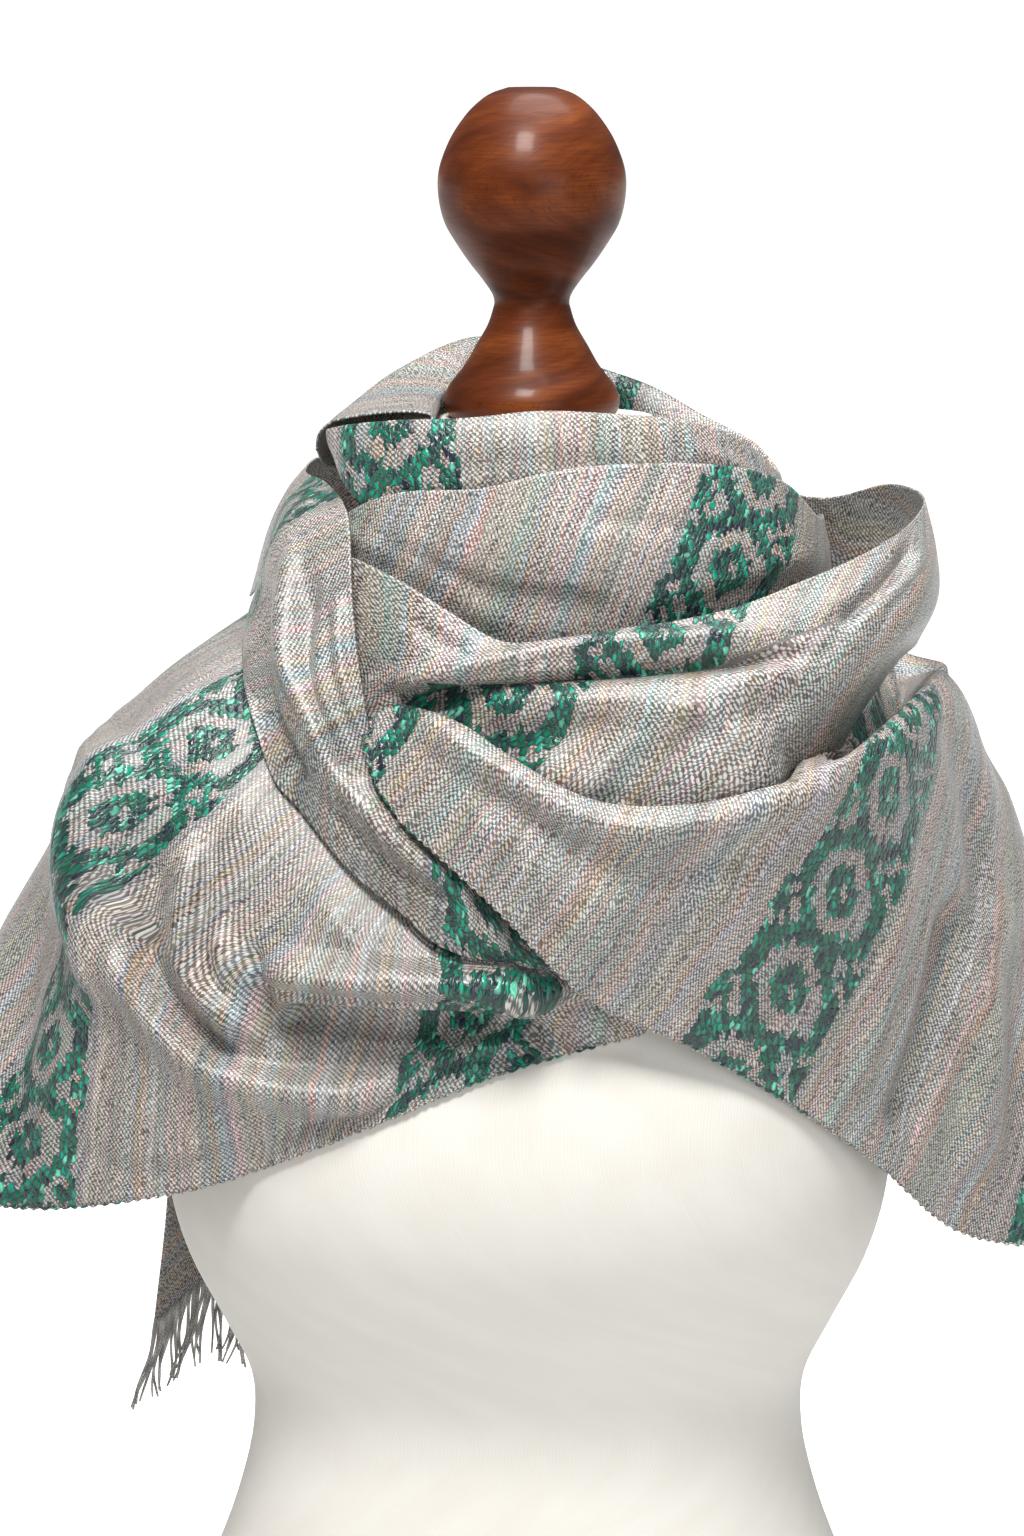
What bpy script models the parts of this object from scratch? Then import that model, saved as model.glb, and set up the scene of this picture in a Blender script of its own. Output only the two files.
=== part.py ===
"""Silk scarf wound on a limbless dress form with a turned wooden neck finial.

Tables are in millimetres and the meshes in metres. +X is the viewer's right, -Y faces the viewer
and +Z is up, with the origin at the centre of the form's flat base.
"""
import math
from collections import namedtuple

import bpy
import numpy as np
from mathutils import Vector
from mathutils.bvhtree import BVHTree

MM = 0.001
CLOTH = 1.5            # thickness of the cloth wall
JOIN_SHARES = (1.0, 0.6, 0.25)  # how a stretch eases onto its neighbour's edge, row by row
SEAM = 0.4             # how far each stretch stops short of the row that it shares with the next
LAYER = 1.6            # air between two layers of cloth, or cloth and form
NECK_TOP = 690.0       # height of the form's neck
FORM_POWER = 2.35      # exponent of the form's rounded sections
FORM_SIDES = 30
FINIAL_SIDES = 22
STAND_OFF = 0.3        # the finial's seat above the neck
FINIAL_ASIDE = 1.6     # the finial stands a little to the right of the form's axis
SHARP = math.radians(50)  # edges that turn more than this stay crisp
BESIDE = 3.0           # how far past a surface's edge a place still counts as over it
PUSH_EASE = 0.5        # share of a push that comes from the neighbouring places
FOLD_FADE = 0.2        # share of a fold's length over which it rises at each end
FOLD_START = 0.25      # how far it has already risen at its very end

# Where the front is drawn from: the eye's height above the level, its distance and what it looks at.
EYE_TILT = math.radians(9.0)
EYE_DISTANCE = 2300.0
AIM_ACROSS = -7.1
AIM_UP = 533.7

Ring = namedtuple("Ring", "height half_width front back")
FORM_RINGS = [
    Ring(0, 158, 112, 108),
    Ring(12, 161, 114, 110),
    Ring(80, 166, 118, 116),
    Ring(150, 150, 106, 104),
    Ring(200, 132, 96, 91),
    Ring(235, 124, 91, 83),
    Ring(262, 125, 93, 84),
    Ring(290, 138, 108, 88),
    Ring(318, 152, 124, 92),
    Ring(345, 160, 136, 96),
    Ring(375, 163, 141, 100),
    Ring(410, 163, 136, 104),
    Ring(450, 164, 118, 105),
    Ring(490, 167, 99, 103),
    Ring(525, 171, 84, 97),
    Ring(552, 170, 73, 90),
    Ring(572, 158, 66, 82),
    Ring(590, 132, 61, 74),
    Ring(605, 102, 57, 67),
    Ring(620, 76, 55, 61),
    Ring(642, 61, 54, 56),
    Ring(670, 56, 53, 54),
    Ring(NECK_TOP, 55, 52, 53),
]

Turn = namedtuple("Turn", "height radius")
FINIAL_TURNS = [
    Turn(0, 36.0),
    Turn(3.4, 38.0),
    Turn(7.8, 38.6),
    Turn(13.6, 36.4),
    Turn(22.5, 29.6),
    Turn(31.4, 24.5),
    Turn(40.3, 19.4),
    Turn(46.9, 17.2),
    Turn(50, 16.5),
    Turn(53.6, 17.3),
    Turn(60.3, 21.8),
    Turn(66.9, 27.0),
    Turn(75.8, 33.1),
    Turn(84.7, 38.2),
    Turn(95.8, 40.9),
    Turn(106.9, 40.9),
    Turn(118, 37.3),
    Turn(126.9, 32.4),
    Turn(135.8, 25.0),
    Turn(141.2, 17.4),
    Turn(143.5, 10.5),
]


def seen(across, up, out):
    """Point at a place in the front picture, by how far it stands out in front of the axis."""
    eye_y = -EYE_DISTANCE * math.cos(EYE_TILT)
    eye_z = AIM_UP + EYE_DISTANCE * math.sin(EYE_TILT)
    slope = (up - AIM_UP) / EYE_DISTANCE
    reach = -out - eye_y
    drop = reach * (slope * math.cos(EYE_TILT) - math.sin(EYE_TILT))
    drop /= math.cos(EYE_TILT) + slope * math.sin(EYE_TILT)
    depth = math.cos(EYE_TILT) * reach - math.sin(EYE_TILT) * drop
    x = AIM_ACROSS + (across - AIM_ACROSS) / EYE_DISTANCE * depth
    return (x, -out, eye_z + drop)


def placed(x, z, out):
    """Point given by its real place."""
    return (x, -out, z)


def picture(points):
    """Where points appear in the front picture, as (across, up)."""
    eye_y = -EYE_DISTANCE * math.cos(EYE_TILT)
    eye_z = AIM_UP + EYE_DISTANCE * math.sin(EYE_TILT)
    reach = points[..., 1] - eye_y
    drop = points[..., 2] - eye_z
    depth = math.cos(EYE_TILT) * reach - math.sin(EYE_TILT) * drop
    rise = math.sin(EYE_TILT) * reach + math.cos(EYE_TILT) * drop
    across = AIM_ACROSS + (points[..., 0] - AIM_ACROSS) * EYE_DISTANCE / depth
    return np.stack([across, AIM_UP + rise * EYE_DISTANCE / depth], axis=-1)


def from_behind(points):
    """Places of points as (x, z), for folds that the front doesn't show."""
    return np.stack([points[..., 0], points[..., 2]], axis=-1)


# Each stretch of cloth is a table of sections. A section runs across the stretch, through the
# points that its columns name, and the sections follow each other along the scarf.
Collar = namedtuple("Collar", "name inside inner rim face low")
Loop = namedtuple("Loop", "name rim face low")
Cowl = namedtuple("Cowl", "name crest crease belly low")
Strap = namedtuple("Strap", "name inner middle outer")
Drape = namedtuple("Drape", "name neck shoulder edge tuck ridge hem")
Back = namedtuple("Back", "name neck shoulder belly hem")
Panel = namedtuple("Panel", "name inner ridge middle hem")
End = namedtuple("End", "name top middle low")

INNER_LOOP = [
    Collar("corner", seen(-80, 674, 34), seen(-83, 680, 36), seen(-89, 684, 40),
           seen(-89, 679, 45), seen(-87, 674, 49)),
    Collar("front_left", seen(-74, 674, 50), seen(-75, 681, 52), seen(-79, 686, 57),
           seen(-80, 672, 64), seen(-79, 656, 68)),
    Collar("green_left", seen(-54, 674, 66), seen(-55, 682, 68), seen(-57, 688, 74),
           seen(-57, 668, 82), seen(-58, 640, 84)),
    Collar("green_right", seen(-25, 674, 74), seen(-25, 683, 76), seen(-26, 689, 82),
           seen(-26, 668, 90), seen(-26, 640, 90)),
    Collar("front", seen(5, 678, 76), seen(5, 687, 78), seen(5, 692, 84),
           seen(6, 672, 93), seen(7, 642, 92)),
    Collar("front_right", seen(33, 678, 70), seen(33, 686, 72), seen(34, 691, 78),
           seen(36, 672, 88), seen(38, 645, 88)),
    Collar("right_of_front", seen(64, 675, 54), seen(65, 683, 56), seen(68, 688, 62),
           seen(71, 670, 74), seen(73, 645, 76)),
    Collar("right_front_turn", seen(87, 668, 34), seen(88, 675, 35), seen(92, 681, 40),
           seen(95, 665, 50), seen(97, 642, 54)),
    Collar("right", seen(107, 653, 4), seen(107, 659, 5), seen(111, 665, 8),
           seen(114, 652, 14), seen(115, 636, 20)),
    Collar("right_back_turn", seen(95, 664, -26), seen(95, 672, -25), seen(99, 679, -26),
           seen(104, 664, -24), seen(107, 645, -18)),
    Collar("behind_right", seen(73, 676, -40), seen(74, 684, -42), seen(78, 690, -47),
           seen(84, 668, -50), seen(87, 648, -50)),
    Collar("behind_right_high", seen(50, 686, -52), seen(51, 697, -55), seen(55, 703, -62),
           seen(60, 680, -67), seen(62, 655, -69)),
    Collar("behind", seen(27, 690, -58), seen(28, 703, -62), seen(30, 712, -70),
           seen(32, 690, -77), seen(33, 660, -80)),
    Collar("behind_left", seen(-1, 698, -61), seen(0, 708, -64), seen(2, 722, -76),
           seen(0, 700, -85), seen(0, 665, -87)),
    Collar("behind_left_high", seen(-22, 706, -57), seen(-22, 714, -57), seen(-24, 725, -76),
           seen(-28, 704, -85), seen(-30, 668, -86)),
    Collar("left_back_turn", seen(-28, 702, -33), seen(-30, 707, -34), seen(-57, 711, -52),
           seen(-64, 694, -60), seen(-66, 668, -60)),
    Collar("left_back", seen(-38, 695, -3), seen(-40, 699, -4), seen(-77, 696, -20),
           seen(-85, 686, -26), seen(-88, 668, -30)),
    Collar("left_end", seen(-42, 688, 44), seen(-44, 691, 43), seen(-86, 688, 24),
           seen(-93, 682, 18), seen(-94, 675, 14)),
]

MIDDLE_LOOP = [
    Loop("tucked_left", seen(-90, 628, 48), seen(-90, 616, 52), seen(-90, 604, 52)),
    Loop("left", seen(-81, 646, 70), seen(-81, 624, 74), seen(-81, 600, 72)),
    Loop("left_of_front", seen(-57, 656, 90), seen(-57, 630, 97), seen(-57, 600, 92)),
    Loop("front_left", seen(-21, 658, 102), seen(-20, 625, 110), seen(-18, 584, 104)),
    Loop("front", seen(14, 666, 104), seen(16, 628, 114), seen(18, 580, 108)),
    Loop("green_left", seen(54, 669, 96), seen(50, 628, 112), seen(48, 584, 108)),
    Loop("green", seen(88, 668, 82), seen(86, 630, 98), seen(82, 590, 96)),
    Loop("green_right", seen(113, 661, 60), seen(115, 630, 76), seen(112, 602, 76)),
    Loop("right", seen(128, 646, 30), seen(131, 624, 40), seen(130, 606, 44)),
    Loop("right_back", placed(129, 646, -8), placed(132, 630, -8), placed(133, 614, -6)),
    Loop("right_behind", placed(112, 640, -42), placed(116, 628, -48), placed(117, 616, -50)),
    Loop("tucked_behind", placed(84, 634, -70), placed(86, 626, -74), placed(86, 616, -76)),
]

FRONT_COWL = [
    Cowl("tucked_left", seen(-97, 632, 66), seen(-95, 598, 78), seen(-92, 578, 84), seen(-90, 560, 88)),
    Cowl("left", seen(-85, 630, 84), seen(-81, 592, 96), seen(-77, 570, 104), seen(-74, 553, 106)),
    Cowl("pleat_left", seen(-57, 617, 106), seen(-56, 578, 118), seen(-55, 566, 116), seen(-55, 545, 118)),
    Cowl("pleat", seen(-35, 603, 118), seen(-35, 572, 130), seen(-34, 560, 124), seen(-32, 535, 128)),
    Cowl("pleat_end", seen(-12, 590, 126), seen(-12, 571, 136), seen(-10, 556, 132), seen(-6, 525, 134)),
    Cowl("band_left", seen(12, 589, 130), seen(14, 573, 140), seen(18, 550, 140), seen(20, 515, 140)),
    Cowl("band", seen(50, 596, 126), seen(50, 577, 140), seen(54, 548, 148), seen(56, 510, 142)),
    Cowl("band_right", seen(85, 603, 118), seen(86, 583, 136), seen(92, 548, 148), seen(92, 510, 138)),
    Cowl("pocket", seen(104, 609, 111), seen(106, 588, 129), seen(109, 564, 140), seen(108, 536, 129)),
    Cowl("right_front", seen(118, 615, 102), seen(122, 594, 120), seen(124, 570, 131), seen(120, 545, 120)),
    Cowl("right", seen(146, 627, 78), seen(152, 606, 98), seen(152, 586, 106), seen(143, 567, 100)),
    Cowl("cuff_front", seen(167, 640, 46), seen(173, 620, 64), seen(174, 600, 72), seen(163, 580, 70)),
    Cowl("cuff", seen(176, 651, 12), seen(181, 630, 22), seen(182, 610, 28), seen(173, 590, 30)),
    Cowl("cuff_behind", seen(174, 657, -20), seen(178, 638, -18), seen(178, 620, -16), seen(172, 602, -14)),
]

COWL_BACK = [
    Cowl("cuff_behind", seen(174, 657, -20), seen(178, 638, -18), seen(178, 620, -16), seen(172, 602, -14)),
    Cowl("cuff_back_turn", seen(160, 660, -50), seen(163, 645, -54),
         seen(163, 632, -56), seen(161, 618, -56)),
    Cowl("right_behind", placed(134, 646, -78), placed(138, 632, -84),
         placed(140, 620, -89), placed(141, 608, -93)),
    Cowl("behind_right", placed(98, 652, -94), placed(100, 638, -101),
         placed(101, 624, -107), placed(102, 606, -113)),
    Cowl("behind", placed(40, 664, -106), placed(41, 648, -114),
         placed(42, 630, -121), placed(42, 608, -128)),
    Cowl("behind_left", placed(-20, 672, -106), placed(-21, 655, -114),
         placed(-22, 636, -121), placed(-23, 612, -128)),
    Cowl("left_behind", placed(-68, 672, -92), placed(-74, 656, -99),
         placed(-79, 638, -105), placed(-85, 612, -111)),
    Cowl("left_back_turn", placed(-97, 666, -58), placed(-107, 654, -61),
         placed(-114, 636, -64), placed(-122, 608, -68)),
]

LEFT_STRAP = [
    Strap("left_back_turn", placed(-97, 666, -58), placed(-112, 642, -63), placed(-122, 608, -68)),
    Strap("over_shoulder", placed(-99, 664, -22), placed(-112, 646, -20), placed(-124, 608, -22)),
    Strap("top", seen(-88, 659, 40), seen(-106, 650, 22), seen(-121, 612, 12)),
    Strap("neck_side", seen(-80, 645, 82), seen(-110, 638, 56), seen(-124, 602, 34)),
    Strap("upper", seen(-78, 606, 106), seen(-108, 606, 86), seen(-125, 586, 48)),
    Strap("middle", seen(-74, 571, 120), seen(-102, 572, 112), seen(-124, 572, 62)),
    Strap("lower", seen(-65, 530, 126), seen(-88, 537, 130), seen(-113, 533, 92)),
    Strap("turn", seen(-47, 503, 136), seen(-68, 514, 142), seen(-94, 506, 114)),
    Strap("under_panel", seen(-26, 482, 140), seen(-50, 492, 147), seen(-77, 486, 126)),
    Strap("run_in", seen(-6, 465, 144), seen(-30, 471, 149), seen(-56, 469, 136)),
    Strap("low_end", seen(12, 452, 146), seen(-12, 455, 149), seen(-40, 455, 143)),
    Strap("tucked", seen(32, 448, 146), seen(12, 446, 148), seen(-6, 443, 147)),
]

LEFT_DRAPE = [
    Drape("back_seam", placed(-92, 616, -54), placed(-158, 573, -44), placed(-212, 510, -56),
          placed(-228, 465, -63), placed(-246, 400, -70), placed(-262, 332, -78)),
    Drape("side_back", placed(-92, 616, -12), placed(-160, 577, -5), placed(-211, 520, -10),
          placed(-232, 470, -14), placed(-255, 400, -18), placed(-276, 332, -22)),
    Drape("side", placed(-94, 612, 16), seen(-159, 573, 26), seen(-209, 508, 34),
          seen(-228, 462, 40), seen(-250, 400, 42), seen(-272, 337, 42)),
    Drape("flap", seen(-104, 602, 36), seen(-162, 566, 46), seen(-206, 492, 54),
          seen(-214, 450, 58), seen(-232, 400, 60), seen(-254, 340, 60)),
    Drape("crest", seen(-112, 584, 52), seen(-170, 552, 72), seen(-197, 500, 92),
          seen(-195, 470, 96), seen(-190, 425, 94), seen(-214, 338, 84)),
    Drape("big_turn", seen(-114, 562, 74), seen(-146, 530, 94), seen(-168, 470, 106),
          seen(-164, 445, 108), seen(-164, 405, 110), seen(-180, 341, 98)),
    Drape("turn_tip", seen(-108, 540, 90), seen(-126, 500, 108), seen(-136, 450, 117),
          seen(-131, 432, 117), seen(-138, 392, 118), seen(-146, 347, 106)),
    Drape("swag_left", seen(-90, 515, 106), seen(-104, 480, 121), seen(-104, 431, 132),
          seen(-106, 422, 120), seen(-108, 387, 124), seen(-112, 358, 114)),
    Drape("swag", seen(-70, 492, 118), seen(-80, 462, 133), seen(-66, 426, 142),
          seen(-66, 416, 126), seen(-72, 392, 130), seen(-76, 371, 121)),
    Drape("green_left", seen(-46, 474, 124), seen(-52, 456, 136), seen(-38, 427, 145),
          seen(-38, 417, 129), seen(-44, 400, 131), seen(-48, 382, 124)),
    Drape("green", seen(-14, 456, 130), seen(-18, 448, 138), seen(-10, 434, 145),
          seen(-10, 425, 130), seen(-16, 411, 131), seen(-18, 394, 126)),
    Drape("green_right", seen(28, 444, 130), seen(24, 442, 132), seen(22, 438, 134),
          seen(20, 430, 130), seen(16, 420, 130), seen(14, 405, 127)),
    Drape("under_panel", seen(62, 436, 124), seen(60, 434, 124), seen(58, 431, 124),
          seen(57, 427, 124), seen(55, 422, 124), seen(52, 416, 124)),
]

BACK_DRAPE = [
    Back("right_seam", placed(124, 618, -52), placed(166, 588, -50),
         placed(226, 470, -66), placed(258, 324, -84)),
    Back("right", placed(86, 634, -88), placed(124, 600, -96),
         placed(170, 470, -126), placed(196, 320, -146)),
    Back("right_of_middle", placed(36, 644, -98), placed(52, 602, -116),
         placed(74, 470, -146), placed(84, 316, -166)),
    Back("left_of_middle", placed(-22, 644, -98), placed(-32, 602, -118),
         placed(-44, 470, -148), placed(-50, 316, -166)),
    Back("left", placed(-70, 634, -84), placed(-108, 594, -96),
         placed(-146, 470, -128), placed(-168, 322, -148)),
    Back("left_seam", placed(-92, 616, -54), placed(-158, 573, -44),
         placed(-228, 465, -63), placed(-262, 332, -78)),
]

FRONT_PANEL = [
    Panel("tip", seen(-60, 558, 112), seen(-58, 562, 120), seen(-66, 558, 121), seen(-74, 553, 122)),
    Panel("left", seen(-30, 544, 134), seen(-27, 551, 142), seen(-44, 536, 142), seen(-64, 518, 139)),
    Panel("left_slope", seen(-6, 524, 144), seen(-5, 533, 154), seen(-22, 515, 155), seen(-40, 495, 152)),
    Panel("knot_side", seen(32, 506, 149), seen(33, 518, 162), seen(12, 498, 163), seen(-13, 470, 157)),
    Panel("middle_left", seen(72, 506, 151), seen(73, 517, 164), seen(46, 484, 165), seen(14, 442, 156)),
    Panel("middle", seen(103, 512, 143), seen(103, 521, 158), seen(68, 474, 158), seen(33, 427, 145)),
    Panel("pocket", seen(122, 556, 88), seen(127, 529, 146), seen(88, 471, 150), seen(50, 419, 141)),
    Panel("band_left", seen(136, 570, 62), seen(145, 536, 132), seen(104, 472, 144), seen(64, 414, 138)),
    Panel("band", seen(152, 580, 48), seen(169, 549, 104), seen(134, 468, 128), seen(92, 399, 126)),
    Panel("band_right", seen(156, 590, 30), seen(184, 563, 66), seen(160, 462, 104), seen(119, 383, 114)),
    Panel("right_front", seen(152, 594, 18), seen(192, 567, 36), seen(184, 450, 76), seen(156, 357, 92)),
    Panel("right_side_front", placed(148, 604, 4), placed(194, 563, 10),
          placed(208, 430, 44), placed(190, 338, 64)),
    Panel("right_side", placed(142, 608, -18), placed(184, 576, -14),
          placed(232, 450, 6), placed(250, 322, 22)),
    Panel("right_seam", placed(124, 618, -52), placed(166, 588, -50),
          placed(226, 470, -66), placed(258, 324, -84)),
]

LEFT_END = [
    End("outer_edge", placed(-164, 440, -94), seen(-160, 345, -106), seen(-166, 288, -112)),
    End("first_pleat", placed(-146, 440, -108), placed(-142, 350, -124), placed(-144, 272, -130)),
    End("first_valley", placed(-122, 440, -112), placed(-120, 350, -114), placed(-117, 270, -116)),
    End("second_pleat", placed(-92, 440, -122), placed(-92, 350, -132), placed(-92, 270, -134)),
    End("second_valley", placed(-62, 440, -120), placed(-64, 350, -120), placed(-66, 270, -118)),
    End("inner_edge", placed(-34, 440, -124), placed(-38, 350, -132), placed(-42, 270, -130)),
]

RIGHT_END = [
    End("inner_edge", placed(18, 440, -124), placed(18, 350, -130), placed(16, 276, -128)),
    End("first_valley", placed(40, 440, -120), placed(39, 350, -118), placed(34, 276, -116)),
    End("first_pleat", placed(63, 440, -123), placed(60, 350, -132), placed(53, 276, -131)),
    End("second_valley", placed(86, 440, -118), placed(81, 350, -116), placed(71, 276, -114)),
    End("second_pleat", placed(108, 440, -115), placed(101, 350, -126), placed(88, 276, -127)),
    End("outer_edge", placed(128, 440, -106), placed(118, 350, -110), placed(102, 278, -111)),
]

# A fold runs through three places, given as (across, up) in the front picture, or (x, z) at the
# back. It stands out by its height, less than nothing in a valley, and spreads by upper above or
# to the left of the line and by lower on the other side.
Fold = namedtuple("Fold", "name start middle end height upper lower")

MIDDLE_FOLDS = [
    Fold("soft_dip", (-70, 632), (-20, 612), (40, 604), -3, 12, 14),
]

COWL_FOLDS = [
    Fold("roll", (-74, 570), (-20, 577), (60, 590), 4, 9, 7),
    Fold("under_roll", (-60, 556), (10, 556), (60, 562), -6, 10, 10),
    Fold("pocket_ridge", (20, 520), (45, 545), (120, 578), 6, 16, 14),
    Fold("cuff_crease", (138, 598), (157, 614), (172, 632), -6, 7, 7),
]

STRAP_FOLDS = [
    Fold("inner_valley", (-96, 620), (-99, 570), (-72, 520), -4, 8, 8),
]

DRAPE_FOLDS = [
    Fold("crest", (-184, 552), (-200, 490), (-188, 428), 12, 20, 10),
    Fold("outer_valley", (-214, 540), (-224, 450), (-236, 350), -8, 14, 14),
    Fold("second_ridge", (-148, 500), (-152, 450), (-126, 412), 8, 12, 12),
    Fold("between", (-168, 500), (-166, 440), (-128, 400), -5, 10, 10),
    Fold("low_ridge", (-176, 450), (-138, 400), (-66, 390), 7, 14, 16),
    Fold("side_fold", (-250, 500), (-262, 430), (-272, 345), 6, 16, 16),
]

PANEL_FOLDS = [
    Fold("ridge", (-50, 556), (40, 508), (140, 525), 5, 10, 18),
    Fold("right_valley", (193, 480), (180, 420), (163, 370), -10, 14, 12),
    Fold("right_ridge", (206, 480), (204, 410), (196, 350), 7, 16, 12),
]

BACK_FOLDS = [
    Fold("right_pleat", (150, 580), (176, 450), (196, 322), 13, 20, 24),
    Fold("right_valley", (96, 580), (118, 450), (134, 322), -12, 20, 20),
    Fold("middle_pleat", (30, 600), (36, 450), (52, 322), 14, 22, 26),
    Fold("middle_valley", (-18, 580), (-14, 450), (-10, 322), -11, 22, 20),
    Fold("left_pleat", (-64, 600), (-88, 450), (-98, 322), 14, 24, 22),
    Fold("left_valley", (-110, 580), (-142, 450), (-150, 322), -12, 20, 20),
    Fold("left_edge_pleat", (-160, 560), (-196, 450), (-214, 322), 10, 22, 20),
]

# The fringe: how many strands an end has, their length and thickness, and the strip they hang from.
STRANDS = 18
STRAND_LENGTH = 50.0
STRAND_WIDTH = 2.2
STRAND_BENDS = 3
STRIP_DEPTH = 3.0
STRAND_SHORTER = 0.12  # how much of its length a strand may lack
STRAND_TAPER = 0.35    # how much narrower a strand is at its tip
FLARE = 11.0           # how far the outermost strand swings out
SWAY = 1.4             # how far a strand wanders along the hem
LEAN = 1.8             # how far it leans in or out


def clear_scene():
    """Start from an empty file."""
    for obj in list(bpy.data.objects):
        bpy.data.objects.remove(obj, do_unlink=True)


def finish(name, colour, roughness, metallic=0.0, sheen=0.0):
    """A plain material."""
    material = bpy.data.materials.new(name)
    material.use_nodes = True
    shader = material.node_tree.nodes["Principled BSDF"]
    shader.inputs["Base Color"].default_value = (*colour, 1.0)
    shader.inputs["Roughness"].default_value = roughness
    shader.inputs["Metallic"].default_value = metallic
    shader.inputs["Sheen Weight"].default_value = sheen
    return material


def solid(name, points, faces, material):
    """Object from points in millimetres and faces that point out."""
    mesh = bpy.data.meshes.new(name)
    mesh.from_pydata([tuple(MM * value for value in point) for point in points], [], faces)
    mesh.update()
    mesh.materials.append(material)
    mesh.shade_smooth()
    mesh.set_sharp_from_angle(angle=SHARP)
    obj = bpy.data.objects.new(name, mesh)
    bpy.context.scene.collection.objects.link(obj)
    return obj


def stack_of_rings(rings):
    """Faces that join rings of equal length, from low to high, closed by a flat cap at each end."""
    sides = len(rings[0])
    points = [point for ring in rings for point in ring]
    faces = [tuple(reversed(range(sides)))]
    for low in range(len(rings) - 1):
        for side in range(sides):
            after = (side + 1) % sides
            faces.append((low * sides + side, low * sides + after,
                          (low + 1) * sides + after, (low + 1) * sides + side))
    top = (len(rings) - 1) * sides
    faces.append(tuple(range(top, top + sides)))
    return points, faces


def form_ring(ring):
    """One level section of the form, rounder in front of the axis than behind it."""
    points = []
    for side in range(FORM_SIDES):
        angle = 2 * math.pi * side / FORM_SIDES
        along = math.cos(angle)
        forward = math.sin(angle)
        depth = ring.back if forward > 0 else ring.front
        x = ring.half_width * math.copysign(abs(along) ** (2 / FORM_POWER), along)
        y = depth * math.copysign(abs(forward) ** (2 / FORM_POWER), forward)
        points.append((x, y, ring.height))
    return points


def make_form(material):
    """The torso: a smooth stack of level sections on a flat base."""
    points, faces = stack_of_rings([form_ring(ring) for ring in FORM_RINGS])
    return solid("dress_form", points, faces, material)


def make_finial(material):
    """The turned knob that stands on the neck."""
    rings = []
    for turn in FINIAL_TURNS:
        ring = []
        for side in range(FINIAL_SIDES):
            angle = 2 * math.pi * side / FINIAL_SIDES
            ring.append((FINIAL_ASIDE + turn.radius * math.cos(angle), turn.radius * math.sin(angle),
                         NECK_TOP + STAND_OFF + turn.height))
        rings.append(ring)
    points, faces = stack_of_rings(rings)
    return solid("neck_finial", points, faces, material)


def curve_through(points, counts):
    """Smooth curve through points, with a given number of cells in each span."""
    points = np.asarray(points, dtype=float)
    padded = np.vstack([2 * points[0] - points[1], points, 2 * points[-1] - points[-2]])
    steps = np.maximum(np.linalg.norm(np.diff(padded, axis=0), axis=1), 0.01) ** 0.5
    knots = np.concatenate([[0.0], np.cumsum(steps)])
    pieces = []
    for span, count in enumerate(counts):
        p0, p1, p2, p3 = padded[span:span + 4]
        t0, t1, t2, t3 = knots[span:span + 4]
        t = np.linspace(t1, t2, count, endpoint=False)[:, None]
        a1 = ((t1 - t) * p0 + (t - t0) * p1) / (t1 - t0)
        a2 = ((t2 - t) * p1 + (t - t1) * p2) / (t2 - t1)
        a3 = ((t3 - t) * p2 + (t - t2) * p3) / (t3 - t2)
        b1 = ((t2 - t) * a1 + (t - t0) * a2) / (t2 - t0)
        b2 = ((t3 - t) * a2 + (t - t1) * a3) / (t3 - t1)
        pieces.append(((t2 - t) * b1 + (t - t1) * b2) / (t2 - t1))
    pieces.append(points[-1:])
    return np.vstack(pieces)


def shared_out(lengths, total):
    """Cells for each span, by its length."""
    lengths = np.asarray(lengths)
    return np.maximum(1, np.round(lengths / lengths.sum() * total).astype(int))


def grid_through(sections, along, across):
    """Grid of points through a table of sections, with about so many cells each way."""
    rows = np.array([section[1:] for section in sections], dtype=float)
    widths = np.linalg.norm(np.diff(rows, axis=1), axis=2).mean(axis=0)
    across_counts = shared_out(widths, across)
    rows = np.array([curve_through(row, across_counts) for row in rows])
    lengths = np.linalg.norm(np.diff(rows, axis=0), axis=2).mean(axis=1)
    along_counts = shared_out(lengths, along)
    return np.stack([curve_through(rows[:, column], along_counts)
                     for column in range(rows.shape[1])], axis=1)


def outward(grid):
    """Unit normals of a grid, all on the side away from the axis."""
    normals = np.cross(np.gradient(grid, axis=0), np.gradient(grid, axis=1))
    normals /= np.maximum(np.linalg.norm(normals, axis=-1, keepdims=True), 1e-9)
    from_axis = grid * np.array([1.0, 1.0, 0.0])
    if (normals * from_axis).sum() < 0:
        normals = -normals
    return normals


def fold_height(flat, fold):
    """How far a fold raises each place of a flat picture of the grid."""
    start, middle, end = (np.array(place, dtype=float) for place in fold[1:4])
    line = curve_through([start, middle, end], [12, 12])
    legs = np.diff(line, axis=0)
    offset = flat[..., None, :] - line[:-1]
    share = np.clip((offset * legs).sum(-1) / (legs ** 2).sum(-1), 0.0, 1.0)
    gap = offset - share[..., None] * legs
    distance = np.linalg.norm(gap, axis=-1)
    nearest = distance.argmin(axis=-1)
    picked = np.take_along_axis(distance, nearest[..., None], axis=-1)[..., 0]
    side = legs[nearest][..., 0] * np.take_along_axis(
        gap[..., 1], nearest[..., None], axis=-1)[..., 0]
    side = side - legs[nearest][..., 1] * np.take_along_axis(
        gap[..., 0], nearest[..., None], axis=-1)[..., 0]
    run = (nearest + np.take_along_axis(share, nearest[..., None], axis=-1)[..., 0]) / len(legs)
    spread = np.where(side > 0, fold.upper, fold.lower)
    profile = 0.5 + 0.5 * np.cos(math.pi * np.clip(picked / spread, 0.0, 1.0))
    ends = np.clip(np.minimum(run, 1.0 - run) / FOLD_FADE + FOLD_START, 0.0, 1.0)
    return fold.height * profile * ends * ends * (3 - 2 * ends)


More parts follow.
